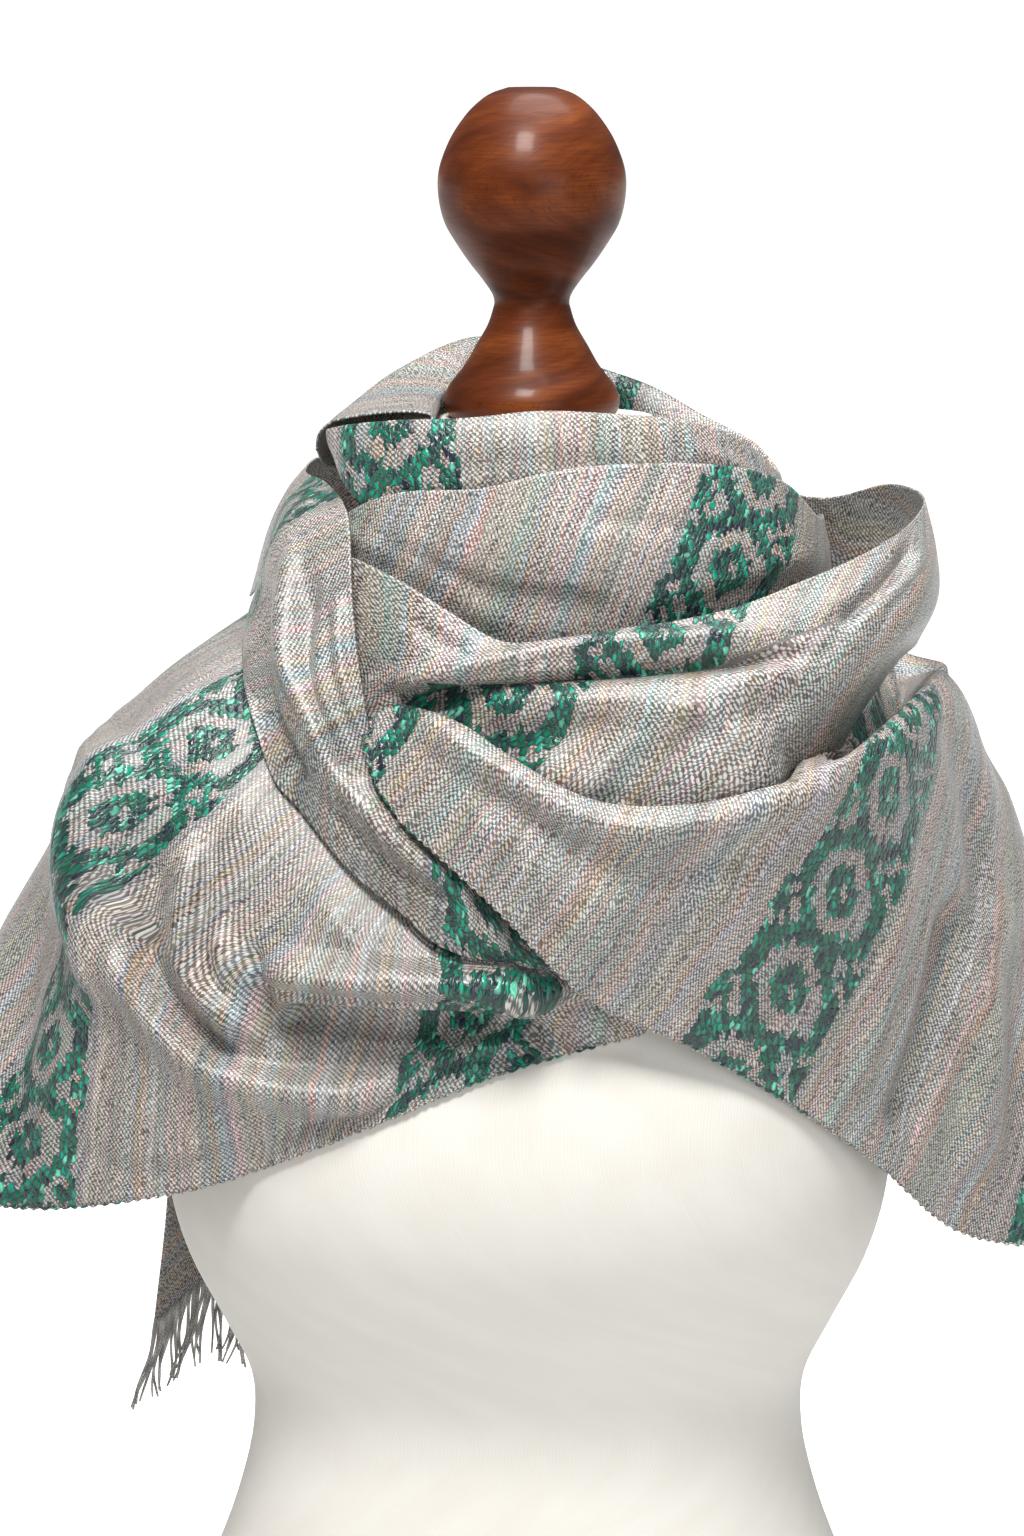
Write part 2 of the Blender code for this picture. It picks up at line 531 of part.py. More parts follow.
def folded(grid, folds, view):
    """Grid with its folds raised along the cloth's own normals."""
    flat = view(grid)
    height = sum((fold_height(flat, fold) for fold in folds), np.zeros(grid.shape[:2]))
    return grid + outward(grid) * height[..., None]


def outer_tree(grid):
    """Search tree of a grid whose faces look outward."""
    rows, columns = grid.shape[:2]
    normals = outward(grid)
    turned = np.cross(grid[1, 0] - grid[0, 0], grid[0, 1] - grid[0, 0])
    flip = (turned * normals[0, 0]).sum() < 0
    faces = []
    for row in range(rows - 1):
        for column in range(columns - 1):
            a = row * columns + column
            quad = (a, a + columns, a + columns + 1, a + 1)
            faces.append(tuple(reversed(quad)) if flip else quad)
    return BVHTree.FromPolygons([tuple(point) for point in grid.reshape(-1, 3)], faces)


def pushed_out(grid, under, reach, rounds=4):
    """Grid moved outward until it is clear of what lies under it."""
    grid = grid.copy()
    for turn in range(rounds):
        shift = np.zeros_like(grid)
        for row in range(grid.shape[0]):
            for column in range(grid.shape[1]):
                point = Vector(grid[row, column])
                for tree, gap in under:
                    near, normal, _, _ = tree.find_nearest(point, reach)
                    if near is None:
                        continue
                    away = point - near
                    depth = away.dot(normal)
                    beside = (away - depth * normal).length
                    if depth < gap and beside < BESIDE:
                        move = np.array(normal * (gap - depth))
                        if np.linalg.norm(move) > np.linalg.norm(shift[row, column]):
                            shift[row, column] = move
        if turn < rounds - 1:
            shift = spread_out(shift)
        grid += shift
    return grid


def spread_out(shift):
    """Shift eased into its neighbours, so that a push leaves no dent."""
    size = np.linalg.norm(shift, axis=-1, keepdims=True)
    padded = np.pad(shift, ((1, 1), (1, 1), (0, 0)), mode="edge")
    eased = (padded[:-2, 1:-1] + padded[2:, 1:-1] + padded[1:-1, :-2] + padded[1:-1, 2:]) / 4
    eased = (1.0 - PUSH_EASE) * shift + PUSH_EASE * eased
    eased_size = np.linalg.norm(eased, axis=-1, keepdims=True)
    return np.where(size > eased_size, shift, eased)


def laid_along(row, edge):
    """Row moved onto a neighbour's edge, with its own spacing."""
    run = np.concatenate([[0.0], np.cumsum(np.linalg.norm(np.diff(row, axis=0), axis=1))])
    way = np.concatenate([[0.0], np.cumsum(np.linalg.norm(np.diff(edge, axis=0), axis=1))])
    places = run / run[-1] * way[-1]
    return np.stack([np.interp(places, way, edge[:, axis]) for axis in range(3)], axis=1)


def joined(grid, start_edge, end_edge):
    """Grid whose first and last rows follow its neighbours' edges, eased over the next rows."""
    grid = grid.copy()
    if start_edge is not None:
        move = laid_along(grid[0], start_edge) - grid[0]
        for row, share in enumerate(JOIN_SHARES):
            grid[row] += share * move
    if end_edge is not None:
        move = laid_along(grid[-1], end_edge) - grid[-1]
        for row, share in enumerate(JOIN_SHARES):
            grid[-1 - row] += share * move
    return grid


def trimmed(grid, start, end):
    """Grid cut short by the seam's gap at either end."""
    grid = grid.copy()
    if start:
        step = grid[1] - grid[0]
        grid[0] += step * SEAM / np.linalg.norm(step, axis=-1, keepdims=True)
    if end:
        step = grid[-2] - grid[-1]
        grid[-1] += step * SEAM / np.linalg.norm(step, axis=-1, keepdims=True)
    return grid


def wall(name, grid, material, thickness=CLOTH):
    """Closed wall of cloth, half its thickness to each side of the grid."""
    rows, columns = grid.shape[:2]
    half = outward(grid) * thickness / 2
    points = list(map(tuple, np.concatenate([(grid + half).reshape(-1, 3),
                                             (grid - half).reshape(-1, 3)])))
    behind = rows * columns
    faces = []
    for row in range(rows - 1):
        for column in range(columns - 1):
            a = row * columns + column
            b = a + columns
            faces.append((a, b, b + 1, a + 1))
            faces.append((a + behind, a + 1 + behind, b + 1 + behind, b + behind))
    edge = [(0, column) for column in range(columns)]
    edge += [(row, columns - 1) for row in range(1, rows)]
    edge += [(rows - 1, column) for column in range(columns - 2, -1, -1)]
    edge += [(row, 0) for row in range(rows - 2, 0, -1)]
    for here, after in zip(edge, edge[1:] + edge[:1]):
        a = here[0] * columns + here[1]
        b = after[0] * columns + after[1]
        faces.append((a, b, b + behind, a + behind))
    turned = np.cross(grid[1, 0] - grid[0, 0], grid[0, 1] - grid[0, 0])
    if (turned * half[0, 0]).sum() < 0:
        faces = [tuple(reversed(face)) for face in faces]
    return solid(name, points, faces, material)


def strand_offset(strand, bend, seed):
    """Sideways and forward lean of a strand at one of its bends, more at the outer edge."""
    phase = strand * 2.4 + seed
    down = bend / STRAND_BENDS
    side = SWAY * math.sin(phase + 2.2 * down) * down
    side -= FLARE * down * (1.0 - strand / (STRANDS - 1)) ** 2
    forward = LEAN * math.sin(1.7 * phase + 2.6 * down) * down
    return side, forward


def fringe(name, hem, material, seed):
    """Narrow strip just under a cloth's hem, with strands that hang from every second cell."""
    cells = 2 * STRANDS - 1
    lengths = np.linalg.norm(np.diff(hem, axis=0), axis=1)
    run = np.concatenate([[0.0], np.cumsum(lengths)])
    marks = []
    strand_share = STRAND_WIDTH / (run[-1] / cells)
    position = 0.0
    for cell in range(cells + 1):
        marks.append(position)
        position += strand_share if cell % 2 == 0 else 2.0 - strand_share
    marks = np.array(marks) / marks[-1] * run[-1]
    line = np.stack([np.interp(marks, run, hem[:, axis]) for axis in range(3)], axis=1)
    tangent = np.gradient(line, axis=0)
    tangent[:, 2] = 0.0
    tangent /= np.linalg.norm(tangent, axis=1, keepdims=True)
    out = np.stack([tangent[:, 1], -tangent[:, 0], np.zeros(len(line))], axis=1)
    if (out * line).sum() < 0:
        out = -out
    half = out * CLOTH / 2
    down = np.array([0.0, 0.0, 1.0])
    corners = [line + half - down * SEAM, line - half - down * SEAM,
               line + half - down * (SEAM + STRIP_DEPTH), line - half - down * (SEAM + STRIP_DEPTH)]
    count = len(line)
    points = [tuple(point) for rank in corners for point in rank]
    outer_top, inner_top, outer_low, inner_low = (rank * count for rank in range(4))
    faces = []
    for cell in range(count - 1):
        after = cell + 1
        faces.append((outer_top + cell, outer_low + cell, outer_low + after, outer_top + after))
        faces.append((inner_top + cell, inner_top + after, inner_low + after, inner_low + cell))
        faces.append((outer_top + cell, outer_top + after, inner_top + after, inner_top + cell))
        if cell % 2:
            faces.append((outer_low + cell, inner_low + cell, inner_low + after, outer_low + after))
    faces.append((outer_top, inner_top, inner_low, outer_low))
    last = count - 1
    faces.append((outer_top + last, outer_low + last, inner_low + last, inner_top + last))
    for strand in range(STRANDS):
        cell = 2 * strand
        ring = [outer_low + cell, outer_low + cell + 1, inner_low + cell + 1, inner_low + cell]
        roots = [np.array(points[index]) for index in ring]
        length = STRAND_LENGTH * (1.0 - STRAND_SHORTER * (1.0 - math.sin(strand * 3.1 + seed)))
        for bend in range(1, STRAND_BENDS + 1):
            side, forward = strand_offset(strand, bend, seed)
            centre = sum(roots) / 4
            taper = 1.0 - STRAND_TAPER * bend / STRAND_BENDS
            base = len(points)
            for root in roots:
                place = centre + (root - centre) * taper
                place = place + tangent[cell] * side + out[cell] * forward
                place = place - down * length * bend / STRAND_BENDS
                points.append(tuple(place))
            fresh = [base, base + 1, base + 2, base + 3]
            for corner in range(4):
                after = (corner + 1) % 4
                faces.append((ring[corner], fresh[corner], fresh[after], ring[after]))
            ring = fresh
        faces.append(tuple(reversed(ring)))
    if (np.cross(tangent[0], out[0]) * down).sum() > 0:
        faces = [tuple(reversed(face)) for face in faces]
    return solid(name, points, faces, material)


def solid_tree(obj):
    """Search tree of a solid, in millimetres."""
    points = [tuple(value / MM for value in vertex.co) for vertex in obj.data.vertices]
    faces = [tuple(polygon.vertices) for polygon in obj.data.polygons]
    return BVHTree.FromPolygons(points, faces)


# A stretch names its table, its folds, how the folds are seen, its cells along and across, what it
# lies over, the neighbours that it meets at its start and end, and its reach: how far under
# another layer it may start and still be lifted over it.
Stretch = namedtuple("Stretch", "name sections folds view along across over start end reach")
DEEP = 24.0
SHALLOW = 9.0          # for a stretch that goes in behind another one
STRETCHES = [
    Stretch("neck_inner_loop", INNER_LOOP, [], picture, 40, 7, [], "", "", DEEP),
    Stretch("neck_middle_loop", MIDDLE_LOOP, MIDDLE_FOLDS, picture, 24, 6,
            ["neck_inner_loop"], "", "", DEEP),
    Stretch("back_drape", BACK_DRAPE, BACK_FOLDS, from_behind, 26, 9,
            ["neck_middle_loop"], "front_panel", "left_drape", DEEP),
    Stretch("left_drape", LEFT_DRAPE, DRAPE_FOLDS, picture, 26, 16,
            ["neck_middle_loop"], "back_drape", "", DEEP),
    Stretch("front_cowl", FRONT_COWL, COWL_FOLDS, picture, 24, 10,
            ["neck_inner_loop", "neck_middle_loop"], "", "cowl_back", DEEP),
    Stretch("cowl_back", COWL_BACK, [], picture, 18, 5,
            ["neck_inner_loop", "neck_middle_loop", "back_drape"], "front_cowl", "left_strap", DEEP),
    Stretch("left_strap", LEFT_STRAP, STRAP_FOLDS, picture, 24, 6,
            ["neck_inner_loop", "neck_middle_loop", "front_cowl", "left_drape"], "cowl_back", "", DEEP),
    Stretch("front_panel", FRONT_PANEL, PANEL_FOLDS, picture, 27, 13,
            ["front_cowl", "left_strap", "left_drape"], "", "back_drape", SHALLOW),
    Stretch("left_end", LEFT_END, [], from_behind, 10, 5, [], "", "", DEEP),
    Stretch("right_end", RIGHT_END, [], from_behind, 10, 5, [], "", "", DEEP),
]


def make_grids(form, finial):
    """Grid of every stretch of the scarf, each laid over those before it."""
    stands = [(solid_tree(obj), CLOTH / 2 + LAYER) for obj in (form, finial)]
    grids = {}
    trees = {}
    for stretch in STRETCHES:
        grid = grid_through(stretch.sections, stretch.along, stretch.across)
        grid = folded(grid, stretch.folds, stretch.view)
        under = [(trees[name], CLOTH + LAYER) for name in stretch.over]
        grid = pushed_out(grid, stands + under, stretch.reach)
        start_edge = grids[stretch.start][-1] if stretch.start in grids else None
        end_edge = grids[stretch.end][0] if stretch.end in grids else None
        grids[stretch.name] = joined(grid, start_edge, end_edge)
        trees[stretch.name] = outer_tree(grids[stretch.name])
    return grids


def make_cloth(grids, silk):
    """Walls of cloth on the grids."""
    for stretch in STRETCHES:
        wall(stretch.name, trimmed(grids[stretch.name], stretch.start, stretch.end), silk)


def main():
    clear_scene()
    jersey = finish("ivory_jersey", (0.86, 0.84, 0.79), 0.85)
    wood = finish("turned_mahogany", (0.16, 0.042, 0.016), 0.3)
    silk = finish("handwoven_silk", (0.52, 0.5, 0.47), 0.38, sheen=0.3)
    yarn = finish("silk_yarn", (0.45, 0.44, 0.43), 0.55)
    form = make_form(jersey)
    finial = make_finial(wood)
    grids = make_grids(form, finial)
    make_cloth(grids, silk)
    fringe("left_fringe", grids["left_end"][:, -1], yarn, 0.3)
    fringe("right_fringe", grids["right_end"][:, -1], yarn, 1.9)


main()
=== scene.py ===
"""Looks of a silk scarf wound on a limbless dress form with a turned wooden neck finial.

Tables are in millimetres and the meshes in metres. +X is the viewer's right, -Y faces the viewer
and +Z is up. Cloth is measured along the scarf and across it, so stripes, bands and weave keep
their size wherever it turns.
"""
import math
from collections import namedtuple

import bpy
import numpy as np
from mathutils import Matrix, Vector
from mathutils.bvhtree import BVHTree


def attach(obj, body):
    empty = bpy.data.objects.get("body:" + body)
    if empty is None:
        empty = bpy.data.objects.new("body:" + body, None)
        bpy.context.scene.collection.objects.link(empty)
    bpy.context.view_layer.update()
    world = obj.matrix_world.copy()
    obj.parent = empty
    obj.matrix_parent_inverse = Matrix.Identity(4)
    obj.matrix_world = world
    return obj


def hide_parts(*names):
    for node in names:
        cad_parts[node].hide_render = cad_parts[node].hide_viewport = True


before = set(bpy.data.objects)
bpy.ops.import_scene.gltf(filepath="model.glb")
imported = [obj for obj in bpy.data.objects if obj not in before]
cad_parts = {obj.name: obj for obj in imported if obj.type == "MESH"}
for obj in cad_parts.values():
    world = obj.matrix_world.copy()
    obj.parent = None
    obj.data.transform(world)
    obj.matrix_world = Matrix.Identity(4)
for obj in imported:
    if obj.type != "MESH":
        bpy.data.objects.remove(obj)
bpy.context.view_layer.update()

MM = 0.001
WALL = 0.9             # thickness of the silk as it shows
LAYERS_APART = 3.1     # between the middles of two layers of cloth
OFF_BODY = 2.35        # between the form and the middle of the cloth on it
JOIN_LENGTH = 40.0     # over how much cloth a stretch eases onto its neighbour's edge
NECK_TOP = 690.0       # height of the form's neck
FORM_POWER = 2.35      # exponent of the form's rounded sections
FORM_SIDES = 120
FINIAL_SIDES = 96
RINGS_BETWEEN = 5      # steps from one ring of a table to the next
STAND_OFF = 0.3        # the finial's seat above the neck
FINIAL_ASIDE = 1.6     # the finial stands a little to the right of the form's axis
BESIDE = 3.0           # how far past a surface's edge a place still counts as over it
PUSH_EASE = 0.5        # share of a push that comes from the neighbouring places
PUSH_SPREAD = 8        # how many cells a push spreads over
FOLD_FADE = 0.2        # share of a fold's length over which it rises at each end
FOLD_START = 0.25      # how far it has already risen at its very end
MIN_STEP = 0.01        # points nearer than this count as this far apart on a curve
FOLD_LEGS = 12         # straight legs in each half of a fold's line
TINY = 1e-9            # keeps a division by a length from a division by nothing

# Where the picture is seen from: the eye's height above the level, its distance and what it looks at.
EYE_TILT = math.radians(9.0)
EYE_DISTANCE = 2300.0
AIM_ACROSS = -7.1
AIM_UP = 533.7
PICTURE_HEIGHT = 682.7  # millimetres at the form's axis that the picture takes in from top to bottom
FILM_HEIGHT = 36.0


def make_camera():
    """Camera at the height and distance that the tables are drawn for."""
    data = bpy.data.cameras.new("camera")
    data.sensor_fit = "VERTICAL"
    data.sensor_height = FILM_HEIGHT
    data.lens = EYE_DISTANCE * FILM_HEIGHT / PICTURE_HEIGHT
    camera = bpy.data.objects.new("camera", data)
    bpy.context.scene.collection.objects.link(camera)
    ahead = Vector((0.0, math.cos(EYE_TILT), -math.sin(EYE_TILT)))
    aim = Vector((AIM_ACROSS * MM, 0.0, AIM_UP * MM))
    camera.location = aim - ahead * EYE_DISTANCE * MM
    camera.rotation_euler = ahead.to_track_quat("-Z", "Y").to_euler()
    bpy.context.scene.camera = camera


make_camera()


FLOOR_REACH = 400.0    # metres, as the places and sides of the lights are
FLOOR_DROP = 0.0006
FLOOR_GREY = 0.75
GLOW_FROM = 0.15       # behind the object the floor is lit up to white
GLOW_FULL = 0.7
ROOM_LIGHT = 0.19
LIGHT_AIM = (0.0, 0.0, 0.5)
Light = namedtuple("Light", "name place side power colour")
LIGHTS = [
    Light("key", (-0.3, -1.3, 2.55), 0.7, 71.0, (1.0, 0.985, 0.965)),
    Light("fill", (0.9, -2.1, 0.9), 1.4, 13.0, (0.96, 0.98, 1.0)),
    Light("top", (0.15, 0.25, 2.2), 1.2, 32.0, (1.0, 1.0, 1.0)),
]


def make_light(light):
    """Square soft box that faces the object."""
    data = bpy.data.lights.new(light.name, "AREA")
    data.shape = "SQUARE"
    data.size = light.side
    data.energy = light.power
    data.color = light.colour
    box = bpy.data.objects.new(light.name, data)
    box.location = light.place
    box.rotation_euler = (Vector(LIGHT_AIM) - Vector(light.place)).to_track_quat("-Z", "Y").to_euler()
    bpy.context.scene.collection.objects.link(box)


def make_studio():
    """Pale floor that is lit from behind the object on, white surroundings and three soft boxes."""
    world = bpy.data.worlds.new("studio")
    world.use_nodes = True
    world.node_tree.nodes["Background"].inputs["Color"].default_value = (1.0, 1.0, 1.0, 1.0)
    world.node_tree.nodes["Background"].inputs["Strength"].default_value = ROOM_LIGHT
    bpy.context.scene.world = world
    bpy.context.scene.view_settings.view_transform = "Standard"
    for light in LIGHTS:
        make_light(light)
    mesh = bpy.data.meshes.new("floor")
    corners = [(-1, -1), (1, -1), (1, 1), (-1, 1)]
    mesh.from_pydata([(x * FLOOR_REACH, y * FLOOR_REACH, -FLOOR_DROP) for x, y in corners],
                     [], [(0, 1, 2, 3)])
    floor = bpy.data.objects.new("floor", mesh)
    bpy.context.scene.collection.objects.link(floor)
    paint = bpy.data.materials.new("pale_floor")
    paint.use_nodes = True
    tree = paint.node_tree
    shader = tree.nodes["Principled BSDF"]
    shader.inputs["Base Color"].default_value = (FLOOR_GREY, FLOOR_GREY, FLOOR_GREY, 1.0)
    shader.inputs["Roughness"].default_value = 0.8
    shader.inputs["Emission Color"].default_value = (1.0, 1.0, 1.0, 1.0)
    place = tree.nodes.new("ShaderNodeNewGeometry")
    split = tree.nodes.new("ShaderNodeSeparateXYZ")
    glow = tree.nodes.new("ShaderNodeMapRange")
    tree.links.new(place.outputs["Position"], split.inputs[0])
    tree.links.new(split.outputs[1], glow.inputs[0])
    for socket, value in zip(list(glow.inputs)[1:5], (GLOW_FROM, GLOW_FULL, 0.0, 1.0)):
        socket.default_value = value
    tree.links.new(glow.outputs[0], shader.inputs["Emission Strength"])
    mesh.materials.append(paint)


make_studio()

Ring = namedtuple("Ring", "height half_width front back")
FORM_RINGS = [
    Ring(0, 158, 112, 108),
    Ring(12, 161, 114, 110),
    Ring(80, 166, 118, 116),
    Ring(150, 150, 106, 104),
    Ring(200, 132, 96, 91),
    Ring(235, 124, 91, 83),
    Ring(262, 125, 93, 84),
    Ring(290, 138, 108, 88),
    Ring(318, 152, 124, 92),
    Ring(345, 160, 136, 96),
    Ring(375, 163, 141, 100),
    Ring(410, 163, 136, 104),
    Ring(450, 164, 118, 105),
    Ring(490, 167, 99, 103),
    Ring(525, 171, 84, 97),
    Ring(552, 170, 73, 90),
    Ring(572, 158, 66, 82),
    Ring(590, 132, 61, 74),
    Ring(605, 102, 57, 67),
    Ring(620, 76, 55, 61),
    Ring(642, 61, 54, 56),
    Ring(670, 56, 53, 54),
    Ring(NECK_TOP, 55, 52, 53),
]

Turn = namedtuple("Turn", "height radius")
FINIAL_TURNS = [
    Turn(0, 36.0),
    Turn(3.4, 38.0),
    Turn(7.8, 38.6),
    Turn(13.6, 36.4),
    Turn(22.5, 29.6),
    Turn(31.4, 24.5),
    Turn(40.3, 19.4),
    Turn(46.9, 17.2),
    Turn(50, 16.5),
    Turn(53.6, 17.3),
    Turn(60.3, 21.8),
    Turn(66.9, 27.0),
    Turn(75.8, 33.1),
    Turn(84.7, 38.2),
    Turn(95.8, 40.9),
    Turn(106.9, 40.9),
    Turn(118, 37.3),
    Turn(126.9, 32.4),
    Turn(135.8, 25.0),
    Turn(141.2, 17.4),
    Turn(143.5, 10.5),
]


def seen(across, up, out):
    """Point at a place in the front picture, by how far it stands out in front of the axis."""
    eye_y = -EYE_DISTANCE * math.cos(EYE_TILT)
    eye_z = AIM_UP + EYE_DISTANCE * math.sin(EYE_TILT)
    slope = (up - AIM_UP) / EYE_DISTANCE
    reach = -out - eye_y
    drop = reach * (slope * math.cos(EYE_TILT) - math.sin(EYE_TILT))
    drop /= math.cos(EYE_TILT) + slope * math.sin(EYE_TILT)
    depth = math.cos(EYE_TILT) * reach - math.sin(EYE_TILT) * drop
    x = AIM_ACROSS + (across - AIM_ACROSS) / EYE_DISTANCE * depth
    return (x, -out, eye_z + drop)


def placed(x, z, out):
    """Point given by its real place."""
    return (x, -out, z)


def picture(points):
    """Where points appear in the front picture, as (across, up)."""
    eye_y = -EYE_DISTANCE * math.cos(EYE_TILT)
    eye_z = AIM_UP + EYE_DISTANCE * math.sin(EYE_TILT)
    reach = points[..., 1] - eye_y
    drop = points[..., 2] - eye_z
    depth = math.cos(EYE_TILT) * reach - math.sin(EYE_TILT) * drop
    rise = math.sin(EYE_TILT) * reach + math.cos(EYE_TILT) * drop
    across = AIM_ACROSS + (points[..., 0] - AIM_ACROSS) * EYE_DISTANCE / depth
    return np.stack([across, AIM_UP + rise * EYE_DISTANCE / depth], axis=-1)


def from_behind(points):
    """Places of points as (x, z), for folds that the front doesn't show."""
    return np.stack([points[..., 0], points[..., 2]], axis=-1)


# Each stretch of cloth is a table of sections. A section runs across the stretch, through the
# points that its columns name, and the sections follow each other along the scarf.
Collar = namedtuple("Collar", "name inside inner rim face low")
Loop = namedtuple("Loop", "name rim face low")
Cowl = namedtuple("Cowl", "name crest crease belly low")
Strap = namedtuple("Strap", "name inner middle outer")
Drape = namedtuple("Drape", "name neck shoulder edge tuck ridge hem")
Back = namedtuple("Back", "name neck shoulder belly hem")
Panel = namedtuple("Panel", "name inner ridge middle hem")
End = namedtuple("End", "name top middle low")

INNER_LOOP = [
    Collar("corner", seen(-80, 674, 34), seen(-83, 680, 36), seen(-89, 684, 40),
           seen(-89, 679, 45), seen(-87, 674, 49)),
    Collar("front_left", seen(-74, 674, 50), seen(-75, 681, 52), seen(-79, 686, 57),
           seen(-80, 672, 64), seen(-79, 656, 68)),
    Collar("green_left", seen(-54, 674, 66), seen(-55, 682, 68), seen(-57, 688, 74),
           seen(-57, 668, 82), seen(-58, 640, 84)),
    Collar("green_right", seen(-25, 674, 74), seen(-25, 683, 76), seen(-26, 689, 82),
           seen(-26, 668, 90), seen(-26, 640, 90)),
    Collar("front", seen(5, 678, 76), seen(5, 687, 78), seen(5, 692, 84),
           seen(6, 672, 93), seen(7, 642, 92)),
    Collar("front_right", seen(33, 678, 70), seen(33, 686, 72), seen(34, 691, 78),
           seen(36, 672, 88), seen(38, 645, 88)),
    Collar("right_of_front", seen(64, 675, 54), seen(65, 683, 56), seen(68, 688, 62),
           seen(71, 670, 74), seen(73, 645, 76)),
    Collar("right_front_turn", seen(87, 668, 34), seen(88, 675, 35), seen(92, 681, 40),
           seen(95, 665, 50), seen(97, 642, 54)),
    Collar("right", seen(107, 653, 4), seen(107, 659, 5), seen(111, 665, 8),
           seen(114, 652, 14), seen(115, 636, 20)),
    Collar("right_back_turn", seen(95, 664, -26), seen(95, 672, -25), seen(99, 679, -26),
           seen(104, 664, -24), seen(107, 645, -18)),
    Collar("behind_right", seen(73, 676, -40), seen(74, 684, -42), seen(78, 690, -47),
           seen(84, 668, -50), seen(87, 648, -50)),
    Collar("behind_right_high", seen(50, 686, -52), seen(51, 697, -55), seen(55, 703, -62),
           seen(60, 680, -67), seen(62, 655, -69)),
    Collar("behind", seen(27, 690, -58), seen(28, 703, -62), seen(30, 712, -70),
           seen(32, 690, -77), seen(33, 660, -80)),
    Collar("behind_left", seen(-1, 698, -61), seen(0, 708, -64), seen(2, 722, -76),
           seen(0, 700, -85), seen(0, 665, -87)),
    Collar("behind_left_high", seen(-22, 706, -57), seen(-22, 714, -57), seen(-24, 725, -76),
           seen(-28, 704, -85), seen(-30, 668, -86)),
    Collar("left_back_turn", seen(-28, 702, -33), seen(-30, 707, -34), seen(-57, 711, -52),
           seen(-64, 694, -60), seen(-66, 668, -60)),
    Collar("left_back", seen(-38, 695, -3), seen(-40, 699, -4), seen(-77, 696, -20),
           seen(-85, 686, -26), seen(-88, 668, -30)),
    Collar("left_end", seen(-42, 688, 44), seen(-44, 691, 43), seen(-86, 688, 24),
           seen(-93, 682, 18), seen(-94, 675, 14)),
]

MIDDLE_LOOP = [
    Loop("tucked_left", seen(-90, 628, 48), seen(-90, 616, 52), seen(-90, 604, 52)),
    Loop("left", seen(-81, 646, 70), seen(-81, 624, 74), seen(-81, 600, 72)),
    Loop("left_of_front", seen(-57, 656, 90), seen(-57, 630, 97), seen(-57, 600, 92)),
    Loop("front_left", seen(-21, 658, 102), seen(-20, 625, 110), seen(-18, 584, 104)),
    Loop("front", seen(14, 666, 104), seen(16, 628, 114), seen(18, 580, 108)),
    Loop("green_left", seen(54, 669, 96), seen(50, 628, 112), seen(48, 584, 108)),
    Loop("green", seen(88, 668, 82), seen(86, 630, 98), seen(82, 590, 96)),
    Loop("green_right", seen(113, 661, 60), seen(115, 630, 76), seen(112, 602, 76)),
    Loop("right", seen(128, 646, 30), seen(131, 624, 40), seen(130, 606, 44)),
    Loop("right_back", placed(129, 646, -8), placed(132, 630, -8), placed(133, 614, -6)),
    Loop("right_behind", placed(112, 640, -42), placed(116, 628, -48), placed(117, 616, -50)),
    Loop("tucked_behind", placed(84, 634, -70), placed(86, 626, -74), placed(86, 616, -76)),
]

FRONT_COWL = [
    Cowl("tucked_left", seen(-97, 632, 66), seen(-95, 598, 78), seen(-92, 578, 84), seen(-90, 560, 88)),
    Cowl("left", seen(-85, 630, 84), seen(-81, 592, 96), seen(-77, 570, 104), seen(-74, 553, 106)),
    Cowl("pleat_left", seen(-57, 617, 106), seen(-56, 578, 118), seen(-55, 566, 116), seen(-55, 545, 118)),
    Cowl("pleat", seen(-35, 603, 118), seen(-35, 572, 130), seen(-34, 560, 124), seen(-32, 535, 128)),
    Cowl("pleat_end", seen(-12, 590, 126), seen(-12, 571, 136), seen(-10, 556, 132), seen(-6, 525, 134)),
    Cowl("band_left", seen(12, 589, 130), seen(14, 573, 140), seen(18, 550, 140), seen(20, 515, 140)),
    Cowl("band", seen(50, 596, 126), seen(50, 577, 140), seen(54, 548, 148), seen(56, 510, 142)),
    Cowl("band_right", seen(85, 603, 118), seen(86, 583, 136), seen(92, 548, 148), seen(92, 510, 138)),
    Cowl("pocket", seen(104, 609, 111), seen(106, 588, 129), seen(109, 558, 139), seen(112, 516, 121)),
    Cowl("right_front", seen(118, 615, 102), seen(122, 594, 120), seen(126, 567, 129), seen(128, 526, 101)),
    Cowl("right", seen(146, 627, 78), seen(152, 606, 98), seen(153, 585, 105), seen(147, 557, 86)),
    Cowl("cuff_front", seen(167, 640, 46), seen(173, 620, 64), seen(174, 600, 72), seen(163, 580, 70)),
    Cowl("cuff", seen(176, 651, 12), seen(181, 630, 22), seen(182, 610, 28), seen(173, 590, 30)),
    Cowl("cuff_behind", seen(174, 657, -20), seen(178, 638, -18), seen(178, 620, -16), seen(172, 602, -14)),
]

COWL_BACK = [
    FRONT_COWL[-1],
    Cowl("cuff_back_turn", seen(160, 660, -50), seen(163, 645, -54),
         seen(163, 632, -56), seen(161, 618, -56)),
    Cowl("right_behind", placed(134, 646, -78), placed(138, 632, -84),
         placed(140, 620, -89), placed(141, 608, -93)),
    Cowl("behind_right", placed(98, 652, -94), placed(100, 638, -101),
         placed(101, 624, -107), placed(102, 606, -113)),
    Cowl("behind", placed(40, 664, -106), placed(41, 648, -114),
         placed(42, 630, -121), placed(42, 608, -128)),
    Cowl("behind_left", placed(-20, 672, -106), placed(-21, 655, -114),
         placed(-22, 636, -121), placed(-23, 612, -128)),
    Cowl("left_behind", placed(-68, 672, -92), placed(-74, 656, -99),
         placed(-79, 638, -105), placed(-85, 612, -111)),
    Cowl("left_back_turn", placed(-97, 666, -58), placed(-107, 654, -61),
         placed(-114, 636, -64), placed(-122, 608, -68)),
]

